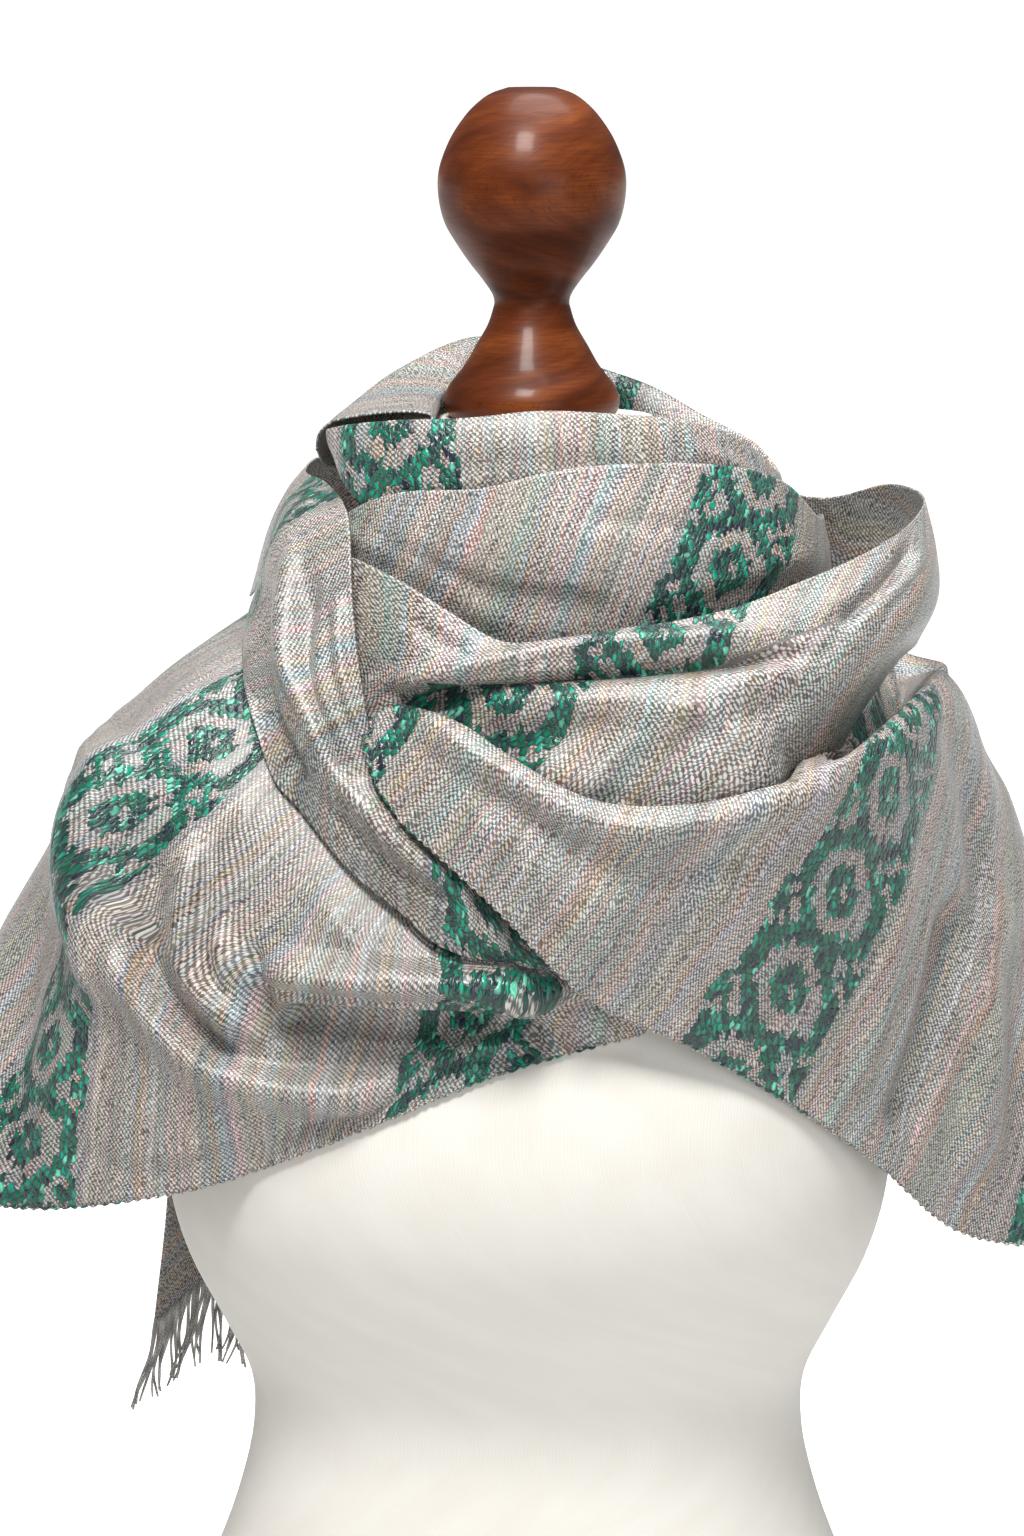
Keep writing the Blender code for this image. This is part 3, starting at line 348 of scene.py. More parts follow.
LEFT_STRAP = [
    Strap("left_back_turn", placed(-97, 666, -58), placed(-112, 642, -63), placed(-122, 608, -68)),
    Strap("over_shoulder", placed(-99, 664, -22), placed(-112, 646, -20), placed(-124, 608, -22)),
    Strap("top", seen(-88, 659, 40), seen(-106, 650, 22), seen(-121, 612, 12)),
    Strap("neck_side", seen(-80, 645, 82), seen(-110, 638, 56), seen(-124, 602, 34)),
    Strap("upper", seen(-78, 606, 106), seen(-108, 606, 86), seen(-125, 586, 48)),
    Strap("middle", seen(-74, 571, 120), seen(-102, 572, 112), seen(-124, 572, 62)),
    Strap("lower", seen(-65, 530, 126), seen(-88, 537, 130), seen(-113, 533, 92)),
    Strap("turn", seen(-47, 503, 136), seen(-68, 514, 142), seen(-94, 506, 114)),
    Strap("under_panel", seen(-26, 482, 140), seen(-50, 492, 147), seen(-77, 486, 126)),
    Strap("run_in", seen(-6, 465, 144), seen(-30, 471, 149), seen(-56, 469, 136)),
    Strap("low_end", seen(12, 452, 146), seen(-12, 455, 149), seen(-40, 455, 143)),
    Strap("tucked", seen(32, 448, 146), seen(12, 446, 148), seen(-6, 443, 147)),
]

LEFT_DRAPE = [
    Drape("back_seam", placed(-92, 616, -54), placed(-158, 573, -44), placed(-212, 510, -56),
          placed(-228, 465, -63), placed(-246, 400, -70), placed(-262, 332, -78)),
    Drape("side_back", placed(-92, 616, -12), placed(-160, 577, -5), placed(-211, 520, -10),
          placed(-232, 470, -14), placed(-255, 400, -18), placed(-276, 332, -22)),
    Drape("side", placed(-94, 612, 16), seen(-159, 573, 26), seen(-209, 508, 34),
          seen(-228, 462, 40), seen(-250, 400, 42), seen(-272, 337, 42)),
    Drape("flap", seen(-104, 602, 36), seen(-162, 566, 46), seen(-206, 492, 54),
          seen(-214, 450, 58), seen(-232, 400, 60), seen(-254, 340, 60)),
    Drape("crest", seen(-112, 584, 52), seen(-170, 552, 72), seen(-197, 500, 92),
          seen(-195, 470, 96), seen(-190, 425, 94), seen(-214, 338, 84)),
    Drape("big_turn", seen(-114, 562, 74), seen(-146, 530, 94), seen(-168, 470, 106),
          seen(-164, 445, 108), seen(-164, 405, 110), seen(-180, 341, 98)),
    Drape("turn_tip", seen(-108, 540, 90), seen(-126, 500, 108), seen(-136, 450, 117),
          seen(-131, 432, 117), seen(-138, 392, 118), seen(-146, 347, 106)),
    Drape("swag_left", seen(-90, 515, 106), seen(-104, 480, 121), seen(-104, 431, 132),
          seen(-106, 422, 120), seen(-108, 387, 124), seen(-112, 358, 114)),
    Drape("swag", seen(-70, 492, 118), seen(-80, 462, 133), seen(-66, 426, 142),
          seen(-66, 416, 126), seen(-72, 392, 130), seen(-76, 371, 121)),
    Drape("green_left", seen(-46, 474, 124), seen(-52, 456, 136), seen(-38, 427, 145),
          seen(-38, 417, 129), seen(-44, 400, 131), seen(-48, 382, 124)),
    Drape("green", seen(-14, 456, 130), seen(-18, 448, 138), seen(-10, 434, 145),
          seen(-10, 425, 130), seen(-16, 411, 131), seen(-18, 394, 126)),
    Drape("green_right", seen(28, 444, 130), seen(24, 442, 132), seen(22, 438, 134),
          seen(20, 430, 130), seen(16, 420, 130), seen(14, 405, 127)),
    Drape("under_panel", seen(62, 436, 124), seen(60, 434, 124), seen(58, 431, 124),
          seen(57, 427, 124), seen(55, 422, 124), seen(52, 416, 124)),
]

BACK_DRAPE = [
    Back("right_seam", placed(124, 618, -52), placed(166, 588, -50),
         placed(226, 470, -66), placed(258, 324, -84)),
    Back("right", placed(86, 634, -88), placed(124, 600, -96),
         placed(170, 470, -126), placed(196, 320, -146)),
    Back("right_of_middle", placed(36, 644, -98), placed(52, 602, -116),
         placed(74, 470, -146), placed(84, 316, -166)),
    Back("left_of_middle", placed(-22, 644, -98), placed(-32, 602, -118),
         placed(-44, 470, -148), placed(-50, 316, -166)),
    Back("left", placed(-70, 634, -84), placed(-108, 594, -96),
         placed(-146, 470, -128), placed(-168, 322, -148)),
    Back("left_seam", placed(-92, 616, -54), placed(-158, 573, -44),
         placed(-228, 465, -63), placed(-262, 332, -78)),
]

FRONT_PANEL = [
    Panel("tip", seen(-60, 558, 112), seen(-58, 562, 120), seen(-66, 558, 121), seen(-74, 553, 122)),
    Panel("left", seen(-30, 544, 134), seen(-27, 551, 142), seen(-44, 536, 142), seen(-64, 518, 139)),
    Panel("left_slope", seen(-6, 524, 144), seen(-5, 533, 154), seen(-22, 515, 155), seen(-40, 495, 152)),
    Panel("knot_side", seen(32, 506, 149), seen(33, 518, 162), seen(12, 498, 163), seen(-13, 470, 157)),
    Panel("middle_left", seen(72, 506, 151), seen(73, 517, 164), seen(46, 484, 165), seen(14, 442, 156)),
    Panel("middle", seen(103, 512, 143), seen(103, 521, 158), seen(68, 474, 158), seen(33, 427, 145)),
    Panel("pocket", seen(122, 556, 88), seen(127, 529, 146), seen(88, 471, 150), seen(50, 419, 141)),
    Panel("band_left", seen(136, 570, 62), seen(145, 536, 132), seen(104, 472, 144), seen(64, 414, 138)),
    Panel("band", seen(152, 580, 48), seen(169, 549, 104), seen(134, 468, 128), seen(92, 399, 126)),
    Panel("band_right", seen(156, 590, 30), seen(184, 563, 66), seen(160, 462, 104), seen(119, 383, 114)),
    Panel("right_front", seen(152, 594, 18), seen(192, 567, 36), seen(184, 450, 76), seen(156, 357, 92)),
    Panel("right_side_front", placed(148, 604, 4), placed(194, 563, 10),
          placed(208, 430, 44), placed(190, 338, 64)),
    Panel("right_side", placed(142, 608, -18), placed(184, 576, -14),
          placed(232, 450, 6), placed(250, 322, 22)),
    Panel(*BACK_DRAPE[0]),
]

LEFT_END = [
    End("outer_edge", placed(-164, 440, -94), seen(-160, 345, -106), seen(-166, 288, -112)),
    End("first_pleat", placed(-146, 440, -108), placed(-142, 350, -124), placed(-144, 272, -130)),
    End("first_valley", placed(-122, 440, -112), placed(-120, 350, -114), placed(-117, 270, -116)),
    End("second_pleat", placed(-92, 440, -122), placed(-92, 350, -132), placed(-92, 270, -134)),
    End("second_valley", placed(-62, 440, -120), placed(-64, 350, -120), placed(-66, 270, -118)),
    End("inner_edge", placed(-34, 440, -124), placed(-38, 350, -132), placed(-42, 270, -130)),
]

RIGHT_END = [
    End("inner_edge", placed(18, 440, -124), placed(18, 350, -130), placed(16, 276, -128)),
    End("first_valley", placed(40, 440, -120), placed(39, 350, -118), placed(34, 276, -116)),
    End("first_pleat", placed(63, 440, -123), placed(60, 350, -132), placed(53, 276, -131)),
    End("second_valley", placed(86, 440, -118), placed(81, 350, -116), placed(71, 276, -114)),
    End("second_pleat", placed(108, 440, -115), placed(101, 350, -126), placed(88, 276, -127)),
    End("outer_edge", placed(128, 440, -106), placed(118, 350, -110), placed(102, 278, -111)),
]

# A fold runs through three places, given as (across, up) in the front picture, or (x, z) at the
# back. It stands out by its height, less than nothing in a valley, and spreads by upper above or
# to the left of the line and by lower on the other side.
Fold = namedtuple("Fold", "name start middle end height upper lower")

INNER_FOLDS = [
    Fold("front_soft", (-50, 664), (0, 670), (50, 668), -1.2, 9, 9),
    Fold("right_pinch", (70, 676), (92, 668), (110, 652), 1.6, 6, 7),
]

MIDDLE_FOLDS = [
    Fold("soft_dip", (-70, 632), (-20, 612), (40, 604), -3, 12, 14),
    Fold("left_line", (-84, 640), (-50, 622), (-10, 598), 1.8, 7, 9),
    Fold("right_line", (20, 646), (70, 640), (110, 640), -1.6, 8, 8),
    Fold("right_soft", (50, 606), (90, 618), (124, 628), 1.6, 8, 8),
]

COWL_FOLDS = [
    Fold("roll", (-66, 571), (18, 585), (112, 593), 5, 8, 6),
    Fold("under_roll", (-58, 562), (14, 575), (126, 585), -9, 4, 9),
    Fold("under_crease", (-20, 556), (24, 562), (70, 566), 4, 9, 14),
    Fold("pocket_ridge", (20, 520), (45, 545), (120, 578), 6, 16, 14),
    Fold("cuff_crease", (138, 598), (157, 614), (172, 632), -6, 7, 7),
    Fold("roll_dimple", (-52, 600), (-40, 590), (-24, 584), -1.6, 7, 7),
    Fold("crest_lift", (-30, 604), (10, 590), (60, 596), 1.6, 6, 8),
    Fold("belly_line", (-60, 546), (0, 528), (60, 520), -1.8, 9, 9),
    Fold("low_line", (60, 566), (100, 550), (120, 560), 2.0, 8, 10),
    Fold("belly_swell", (-10, 530), (56, 518), (116, 536), 12.0, 34, 14),
    Fold("cuff_line", (150, 604), (166, 618), (174, 632), 1.8, 6, 6),
]

STRAP_FOLDS = [
    Fold("inner_valley", (-96, 620), (-99, 570), (-72, 520), -6, 7, 8),
    Fold("inner_ridge", (-104, 634), (-108, 586), (-88, 538), 4.6, 6, 6),
    Fold("outer_soft", (-116, 620), (-116, 566), (-98, 525), -4.4, 5, 6),
    Fold("outer_ridge", (-122, 600), (-121, 560), (-104, 516), 2.6, 5, 5),
    Fold("low_line", (-84, 530), (-58, 500), (-20, 474), 3.6, 5, 6),
    Fold("low_valley", (-92, 520), (-64, 492), (-28, 470), -3.2, 5, 5),
    Fold("inner_line", (-84, 612), (-82, 574), (-66, 530), 3.0, 5, 5),
]

DRAPE_FOLDS = [
    Fold("crest", (-184, 552), (-200, 490), (-188, 428), 12, 20, 10),
    Fold("outer_valley", (-214, 540), (-224, 450), (-236, 350), -8, 14, 14),
    Fold("second_ridge", (-148, 500), (-152, 450), (-126, 412), 10, 11, 10),
    Fold("between", (-168, 500), (-166, 440), (-128, 400), -7, 9, 10),
    Fold("low_ridge", (-184, 452), (-142, 400), (-60, 388), 9, 12, 15),
    Fold("side_fold", (-250, 500), (-262, 430), (-272, 345), 6, 16, 16),
    Fold("tip_ridge", (-136, 462), (-130, 432), (-116, 410), 5.2, 7, 7),
    Fold("tip_valley", (-122, 456), (-117, 430), (-108, 412), -5.0, 6, 6),
    Fold("low_bend_left", (-184, 458), (-158, 418), (-122, 396), 3.2, 9, 10),
    Fold("low_bend_right", (-128, 398), (-92, 388), (-50, 394), 3.4, 9, 10),
    Fold("bend_valley", (-112, 424), (-60, 421), (16, 417), -11.0, 7, 10),
    Fold("over_bend", (-118, 442), (-62, 436), (18, 432), 11.0, 16, 6),
    Fold("hem_soft", (-210, 366), (-170, 352), (-120, 366), -2.4, 10, 12),
    Fold("shoulder_soft", (-150, 540), (-164, 500), (-160, 450), -2.6, 9, 9),
    Fold("inner_tube", (-122, 520), (-136, 480), (-138, 440), 2.6, 8, 8),
    Fold("side_line", (-214, 500), (-236, 430), (-250, 350), 3.0, 9, 11),
    Fold("flap_line", (-206, 470), (-214, 410), (-230, 350), -3.0, 8, 9),
    Fold("swag_line", (-90, 470), (-60, 442), (-10, 438), 2.0, 7, 8),
]

PANEL_FOLDS = [
    Fold("ridge", (-50, 556), (40, 508), (140, 525), 6, 9, 14),
    Fold("right_valley", (193, 480), (180, 420), (163, 370), -10, 14, 12),
    Fold("right_ridge", (206, 480), (204, 410), (196, 350), 7, 16, 12),
    Fold("under_ridge", (-20, 528), (40, 486), (120, 500), -4.0, 12, 16),
    Fold("pocket_hollow", (130, 545), (156, 568), (184, 596), -34.0, 22, 14),
    Fold("slope_left", (-30, 516), (10, 478), (60, 432), 1.8, 14, 14),
    Fold("slope_middle", (30, 500), (60, 462), (96, 410), -1.8, 14, 14),
    Fold("slope_right", (76, 500), (104, 452), (130, 400), 2.2, 14, 14),
    Fold("right_crease", (186, 556), (200, 500), (202, 440), -3.0, 8, 8),
    Fold("arm_line", (206, 540), (222, 470), (236, 380), 3.4, 10, 10),
    Fold("arm_valley", (196, 520), (210, 440), (220, 350), -3.0, 8, 10),
    Fold("hem_wave", (60, 424), (90, 408), (120, 392), 1.6, 9, 9),
    Fold("valley_side", (170, 500), (160, 440), (146, 386), 3.0, 9, 10),
]

BACK_FOLDS = [
    Fold("right_pleat", (150, 580), (176, 450), (196, 322), 13, 20, 24),
    Fold("right_valley", (96, 580), (118, 450), (134, 322), -12, 20, 20),
    Fold("middle_pleat", (30, 600), (36, 450), (52, 322), 14, 22, 26),
    Fold("middle_valley", (-18, 580), (-14, 450), (-10, 322), -11, 22, 20),
    Fold("left_pleat", (-64, 600), (-88, 450), (-98, 322), 14, 24, 22),
    Fold("left_valley", (-110, 580), (-142, 450), (-150, 322), -12, 20, 20),
    Fold("left_edge_pleat", (-160, 560), (-196, 450), (-214, 322), 10, 22, 20),
    Fold("right_line", (172, 560), (204, 440), (224, 330), -5.0, 11, 12),
    Fold("right_inner", (112, 590), (146, 440), (164, 326), 4.0, 12, 10),
    Fold("centre_right", (60, 590), (84, 450), (94, 324), -4.6, 12, 11),
    Fold("centre_left", (4, 600), (10, 450), (14, 324), 4.4, 10, 12),
    Fold("left_inner", (-40, 590), (-50, 450), (-52, 324), -4.6, 11, 11),
    Fold("left_line", (-92, 580), (-118, 450), (-126, 326), 4.2, 12, 10),
    Fold("left_outer", (-134, 570), (-170, 450), (-184, 328), -4.6, 11, 12),
]

# How far along the scarf each point of a table is, in the order of its sections and columns. The
# brocade bands start at every whole number of repeats.
REPEAT = 240.0
WIDE_REPEAT = 335.0    # in the inner loop, where two bands lie further apart
BAND = 68.0
COWL_ALONG = [
    (-94, -90, -32, -12), (-84, -80, -20, 0), (-62, -58, 0, 18), (-45, -40, 18, 36),
    (-26, -21, 39, 60), (-7, -2, 63, 84), (24, 30, 93, 116), (53, 60, 120, 146),
    (68, 78, 133, 160), (80, 94, 140, 172), (102, 122, 156, 188), (122, 144, 174, 200),
    (150, 170, 198, 218), (178, 196, 220, 240),
]
# The crease under the roll hides this much of the cloth, for each section. It is counted in the
# two columns below the crease.
COWL_HIDDEN = [48, 48, 50, 50, 52, 54, 54, 50, 44, 32, 18, 8, 3, 0]
COWL_BACK_ALONG = [
    COWL_ALONG[-1], (192, 206, 222, 238), (212, 220, 230, 238), (262, 272, 284, 292),
    (306, 312, 320, 326), (352, 354, 358, 362), (392, 392, 394, 396), (424, 424, 424, 424),
]
STRAP_ALONG = [
    (424, 424, 424), (457, 462, 460), (519, 509, 494), (564, 545, 528), (610, 589, 552),
    (648, 632, 596), (690, 674, 645), (720, 700, 672), (748, 716, 690), (772, 732, 708),
    (790, 752, 722), (808, 776, 752),
]
PANEL_ALONG = [
    (46, 49, 44, 40), (80, 82, 76, 72), (106, 108, 104, 100), (146, 146, 138, 132),
    (180, 180, 174, 170), (206, 206, 202, 198), (224, 226, 222, 220), (240, 240, 240, 240),
    (272, 274, 274, 274), (308, 308, 308, 308), (322, 340, 362, 376), (348, 372, 424, 456),
    (372, 410, 480, 548), (410, 450, 550, 648),
]
BACK_ALONG = [
    PANEL_ALONG[-1], (520, 540, 630, 728), (630, 655, 728, 832), (745, 780, 846, 955),
    (850, 895, 950, 1060), (945, 1008, 1060, 1160),
]
DRAPE_ALONG = [
    (945, 1008, 1040, 1060, 1110, 1160), (1010, 1052, 1078, 1090, 1124, 1170),
    (1064, 1094, 1120, 1132, 1160, 1192), (1130, 1140, 1168, 1186, 1204, 1212),
    (1210, 1200, 1225, 1262, 1268, 1250), (1232, 1244, 1284, 1308, 1308, 1292),
    (1272, 1292, 1330, 1342, 1344, 1332), (1308, 1330, 1368, 1374, 1378, 1372),
    (1356, 1384, 1414, 1424, 1426, 1428), (1432, 1430, 1446, 1458, 1458, 1460),
    (1472, 1468, 1474, 1488, 1488, 1488), (1512, 1510, 1508, 1514, 1514, 1510),
    (1548, 1548, 1548, 1548, 1548, 1548),
]
END_ALONG = [(80, 165, 232)] * 6


def unit(vectors):
    """Vectors brought to a length of one."""
    return vectors / np.maximum(np.linalg.norm(vectors, axis=-1, keepdims=True), TINY)


def added_up(lengths):
    """Where each point lies along a line, from the lengths between the points."""
    return np.concatenate([[0.0], np.cumsum(lengths)])


def row_steps(grid):
    """Mean distance between a grid's rows."""
    return np.linalg.norm(np.diff(grid, axis=0), axis=2).mean(axis=1)


def run_of(line):
    """Where each point of a line lies along it."""
    return added_up(np.linalg.norm(np.diff(line, axis=0), axis=1))


def run_from(sections, name, mark, slant):
    """Lengths along the scarf by the distance between sections, from the one whose place is known."""
    rows = np.array([section[1:] for section in sections], dtype=float)
    run = added_up(row_steps(rows))
    at = [section.name for section in sections].index(name)
    return [tuple(place - run[at] + mark + lean for lean in slant) for place in run]


def curve_through(points, counts):
    """Smooth curve through points, with a given number of cells in each span.

    Values after the first three go along with the place.
    """
    points = np.asarray(points, dtype=float)
    padded = np.vstack([2 * points[0] - points[1], points, 2 * points[-1] - points[-2]])
    steps = np.maximum(np.linalg.norm(np.diff(padded[:, :3], axis=0), axis=1), MIN_STEP) ** 0.5
    knots = added_up(steps)
    pieces = []
    for span, count in enumerate(counts):
        p0, p1, p2, p3 = padded[span:span + 4]
        t0, t1, t2, t3 = knots[span:span + 4]
        t = np.linspace(t1, t2, count, endpoint=False)[:, None]
        a1 = ((t1 - t) * p0 + (t - t0) * p1) / (t1 - t0)
        a2 = ((t2 - t) * p1 + (t - t1) * p2) / (t2 - t1)
        a3 = ((t3 - t) * p2 + (t - t2) * p3) / (t3 - t2)
        b1 = ((t2 - t) * a1 + (t - t0) * a2) / (t2 - t0)
        b2 = ((t3 - t) * a2 + (t - t1) * a3) / (t3 - t1)
        pieces.append(((t2 - t) * b1 + (t - t1) * b2) / (t2 - t1))
    pieces.append(points[-1:])
    return np.vstack(pieces)


def shared_out(lengths, total):
    """Cells for each span, by its length."""
    lengths = np.asarray(lengths)
    return np.maximum(1, np.round(lengths / lengths.sum() * total).astype(int))


def grid_through(sections, cloth, hidden, along, across):
    """Grid of points through a table of sections, each with its place along the scarf.

    What a crease at the second column hides is counted at once, and not spread over the columns.
    """
    places = np.array([section[1:] for section in sections], dtype=float)
    cloth = np.array(cloth, dtype=float)
    jump = np.zeros_like(cloth) + np.array(hidden or [0.0])[:, None]
    cloth[:, 2:] -= jump[:, 2:]
    rows = np.concatenate([places, cloth[..., None], jump[..., None]], axis=2)
    rows = np.array([curve_through(row, across) for row in rows])
    along_counts = shared_out(row_steps(rows[..., :3]), along)
    grid = np.stack([curve_through(rows[:, column], along_counts)
                     for column in range(rows.shape[1])], axis=1)
    grid[:, across[0] + 1:, 3] += grid[:, across[0] + 1:, 4]
    return grid[..., :3], grid[..., 3]


def outward(grid):
    """Unit normals of a grid, all on the side away from the axis."""
    normals = unit(np.cross(np.gradient(grid, axis=0), np.gradient(grid, axis=1)))
    from_axis = grid * np.array([1.0, 1.0, 0.0])
    if (normals * from_axis).sum() < 0:
        normals = -normals
    return normals


def fold_height(flat, fold):
    """How far a fold raises each place of a flat picture of the grid."""
    start, middle, end = (np.array(place, dtype=float) for place in fold[1:4])
    line = curve_through([start, middle, end], [FOLD_LEGS] * 2)
    legs = np.diff(line, axis=0)
    offset = flat[..., None, :] - line[:-1]
    share = np.clip((offset * legs).sum(-1) / (legs ** 2).sum(-1), 0.0, 1.0)
    gap = offset - share[..., None] * legs
    distance = np.linalg.norm(gap, axis=-1)
    nearest = distance.argmin(axis=-1)
    picked = np.take_along_axis(distance, nearest[..., None], axis=-1)[..., 0]
    side = legs[nearest][..., 0] * np.take_along_axis(
        gap[..., 1], nearest[..., None], axis=-1)[..., 0]
    side = side - legs[nearest][..., 1] * np.take_along_axis(
        gap[..., 0], nearest[..., None], axis=-1)[..., 0]
    run = (nearest + np.take_along_axis(share, nearest[..., None], axis=-1)[..., 0]) / len(legs)
    spread = np.where(side > 0, fold.upper, fold.lower)
    profile = 0.5 + 0.5 * np.cos(math.pi * np.clip(picked / spread, 0.0, 1.0))
    ends = np.clip(np.minimum(run, 1.0 - run) / FOLD_FADE + FOLD_START, 0.0, 1.0)
    return fold.height * profile * ends * ends * (3 - 2 * ends)


def folded(grid, folds, view):
    """Grid with its folds raised along the cloth's own normals."""
    flat = view(grid)
    height = sum((fold_height(flat, fold) for fold in folds), np.zeros(grid.shape[:2]))
    return grid + outward(grid) * height[..., None]


def cells(rows, columns):
    """Faces of a grid, row by row."""
    corners = [row * columns + column for row in range(rows - 1) for column in range(columns - 1)]
    return [(a, a + columns, a + columns + 1, a + 1) for a in corners]


def looks_inward(grid):
    """Whether the faces of a grid look at the axis."""
    turned = np.cross(grid[1, 0] - grid[0, 0], grid[0, 1] - grid[0, 0])
    return (turned * outward(grid)[0, 0]).sum() < 0


def outer_tree(grid):
    """Search tree of a grid whose faces look outward."""
    faces = cells(*grid.shape[:2])
    if looks_inward(grid):
        faces = [tuple(reversed(face)) for face in faces]
    return BVHTree.FromPolygons([tuple(point) for point in grid.reshape(-1, 3)], faces)


def pushed_out(grid, under, reach, rounds=3):
    """Grid moved outward until it is clear of what lies under it."""
    grid = grid.copy()
    for turn in range(rounds):
        shift = np.zeros_like(grid)
        for row in range(grid.shape[0]):
            for column in range(grid.shape[1]):
                point = Vector(grid[row, column])
                for tree, gap in under:
                    near, normal, _, _ = tree.find_nearest(point, reach)
                    if near is None:
                        continue
                    away = point - near
                    depth = away.dot(normal)
                    beside = (away - depth * normal).length
                    if depth < gap and beside < BESIDE:
                        move = np.array(normal * (gap - depth))
                        if np.linalg.norm(move) > np.linalg.norm(shift[row, column]):
                            shift[row, column] = move
        if not shift.any():
            break
        if turn < rounds - 1:
            for _ in range(PUSH_SPREAD):
                shift = spread_out(shift)
        grid += shift
    return grid


def spread_out(shift):
    """Shift eased into its neighbours, so that a push leaves no dent."""
    size = np.linalg.norm(shift, axis=-1, keepdims=True)
    padded = np.pad(shift, ((1, 1), (1, 1), (0, 0)), mode="edge")
    eased = (padded[:-2, 1:-1] + padded[2:, 1:-1] + padded[1:-1, :-2] + padded[1:-1, 2:]) / 4
    eased = (1.0 - PUSH_EASE) * shift + PUSH_EASE * eased
    eased_size = np.linalg.norm(eased, axis=-1, keepdims=True)
    return np.where(size > eased_size, shift, eased)


def eased_to(grid, edge, last):
    """Grid whose first or last row is its neighbour's edge, eased over the cloth next to it."""
    grid = grid[::-1].copy() if last else grid.copy()
    share = np.clip(1.0 - added_up(row_steps(grid)) / JOIN_LENGTH, 0.0, 1.0)
    share = share * share * (3 - 2 * share)
    grid += share[:, None, None] * (edge - grid[0])
    return grid[::-1] if last else grid


def smoothed_at(grid, row, half=10, rounds=12):
    """Grid made smooth across one row, where two stretches meet."""
    grid = grid.copy()
    low, high = row - half, row + half + 1
    fade = 1.0 - np.abs(np.arange(low, high) - row) / (half + 1)
    for _ in range(rounds):
        between = (grid[low - 1:high - 1] + grid[low + 1:high + 1]) / 2
        grid[low:high] += fade[:, None, None] * (between - grid[low:high])
    return grid


# A stretch names its table, the places along the scarf, its folds and how they are seen, its cells
# along and across, what it lies over, the neighbours at its start and end, and its reach: how far
# under another layer it may start and still be lifted over it.
Stretch = namedtuple("Stretch", "name sections cloth folds view along across over start end reach")
DEEP = 24.0
SHALLOW = 9.0          # for a stretch that goes in behind another one
STRETCHES = [
    Stretch("neck_inner_loop", INNER_LOOP, run_from(INNER_LOOP, "green_right", 68, (0, 0, 0, 0, 0)),
            INNER_FOLDS, picture, 230, (3, 5, 12, 16), [], "", "", DEEP),
    Stretch("neck_middle_loop", MIDDLE_LOOP, run_from(MIDDLE_LOOP, "green", 12, (0, 14, 30)),
            MIDDLE_FOLDS, picture, 150, (20, 20), ["neck_inner_loop"], "", "", DEEP),
    Stretch("back_drape", BACK_DRAPE, BACK_ALONG, BACK_FOLDS, from_behind,
            96, (30, 52, 50), ["neck_middle_loop"], "front_panel", "left_drape", DEEP),
    Stretch("left_drape", LEFT_DRAPE, DRAPE_ALONG, DRAPE_FOLDS, picture,
            132, (30, 33, 19, 25, 25), ["neck_middle_loop"], "back_drape", "", DEEP),
    Stretch("front_cowl", FRONT_COWL, COWL_ALONG, COWL_FOLDS, picture,
            150, (22, 24, 20), ["neck_inner_loop", "neck_middle_loop"], "", "cowl_back", DEEP),
    Stretch("cowl_back", COWL_BACK, COWL_BACK_ALONG, [], picture, 90, (22, 24, 20),
            ["neck_inner_loop", "neck_middle_loop", "back_drape"], "front_cowl", "left_strap", DEEP),
    Stretch("left_strap", LEFT_STRAP, STRAP_ALONG, STRAP_FOLDS, picture,
            140, (33, 33), ["neck_inner_loop", "neck_middle_loop", "front_cowl", "left_drape"],
            "cowl_back", "", DEEP),
    Stretch("front_panel", FRONT_PANEL, PANEL_ALONG, PANEL_FOLDS, picture,
            136, (30, 52, 50), ["front_cowl", "left_strap", "left_drape"], "", "back_drape", SHALLOW),
    Stretch("left_end", LEFT_END, END_ALONG, [], from_behind, 60, (30, 30), [], "", "", DEEP),
    Stretch("right_end", RIGHT_END, END_ALONG, [], from_behind, 60, (30, 30), [], "", "", DEEP),
]

# Each sheet is made of stretches that run into each other. Its flat size is width and length.
Sheet = namedtuple("Sheet", "name stretches width length held rests_on")
SHEETS = [
    Sheet("inner_loop_silk", ["neck_inner_loop"], 0.062, 0.60, "folded", ["dress_form"]),
    Sheet("middle_loop_silk", ["neck_middle_loop"], 0.056, 0.39, "folded", ["dress_form"]),
    Sheet("collar_silk", ["front_cowl", "cowl_back", "left_strap"], 0.085, 1.02, "folded",
          ["dress_form"]),
    Sheet("mantle_silk", ["front_panel", "back_drape", "left_drape"], 0.30, 1.15, "draped",
          ["dress_form"]),
    Sheet("left_end_silk", ["left_end"], 0.16, 0.17, "hung", ["dress_form"]),
    Sheet("right_end_silk", ["right_end"], 0.14, 0.17, "hung", ["dress_form"]),
]


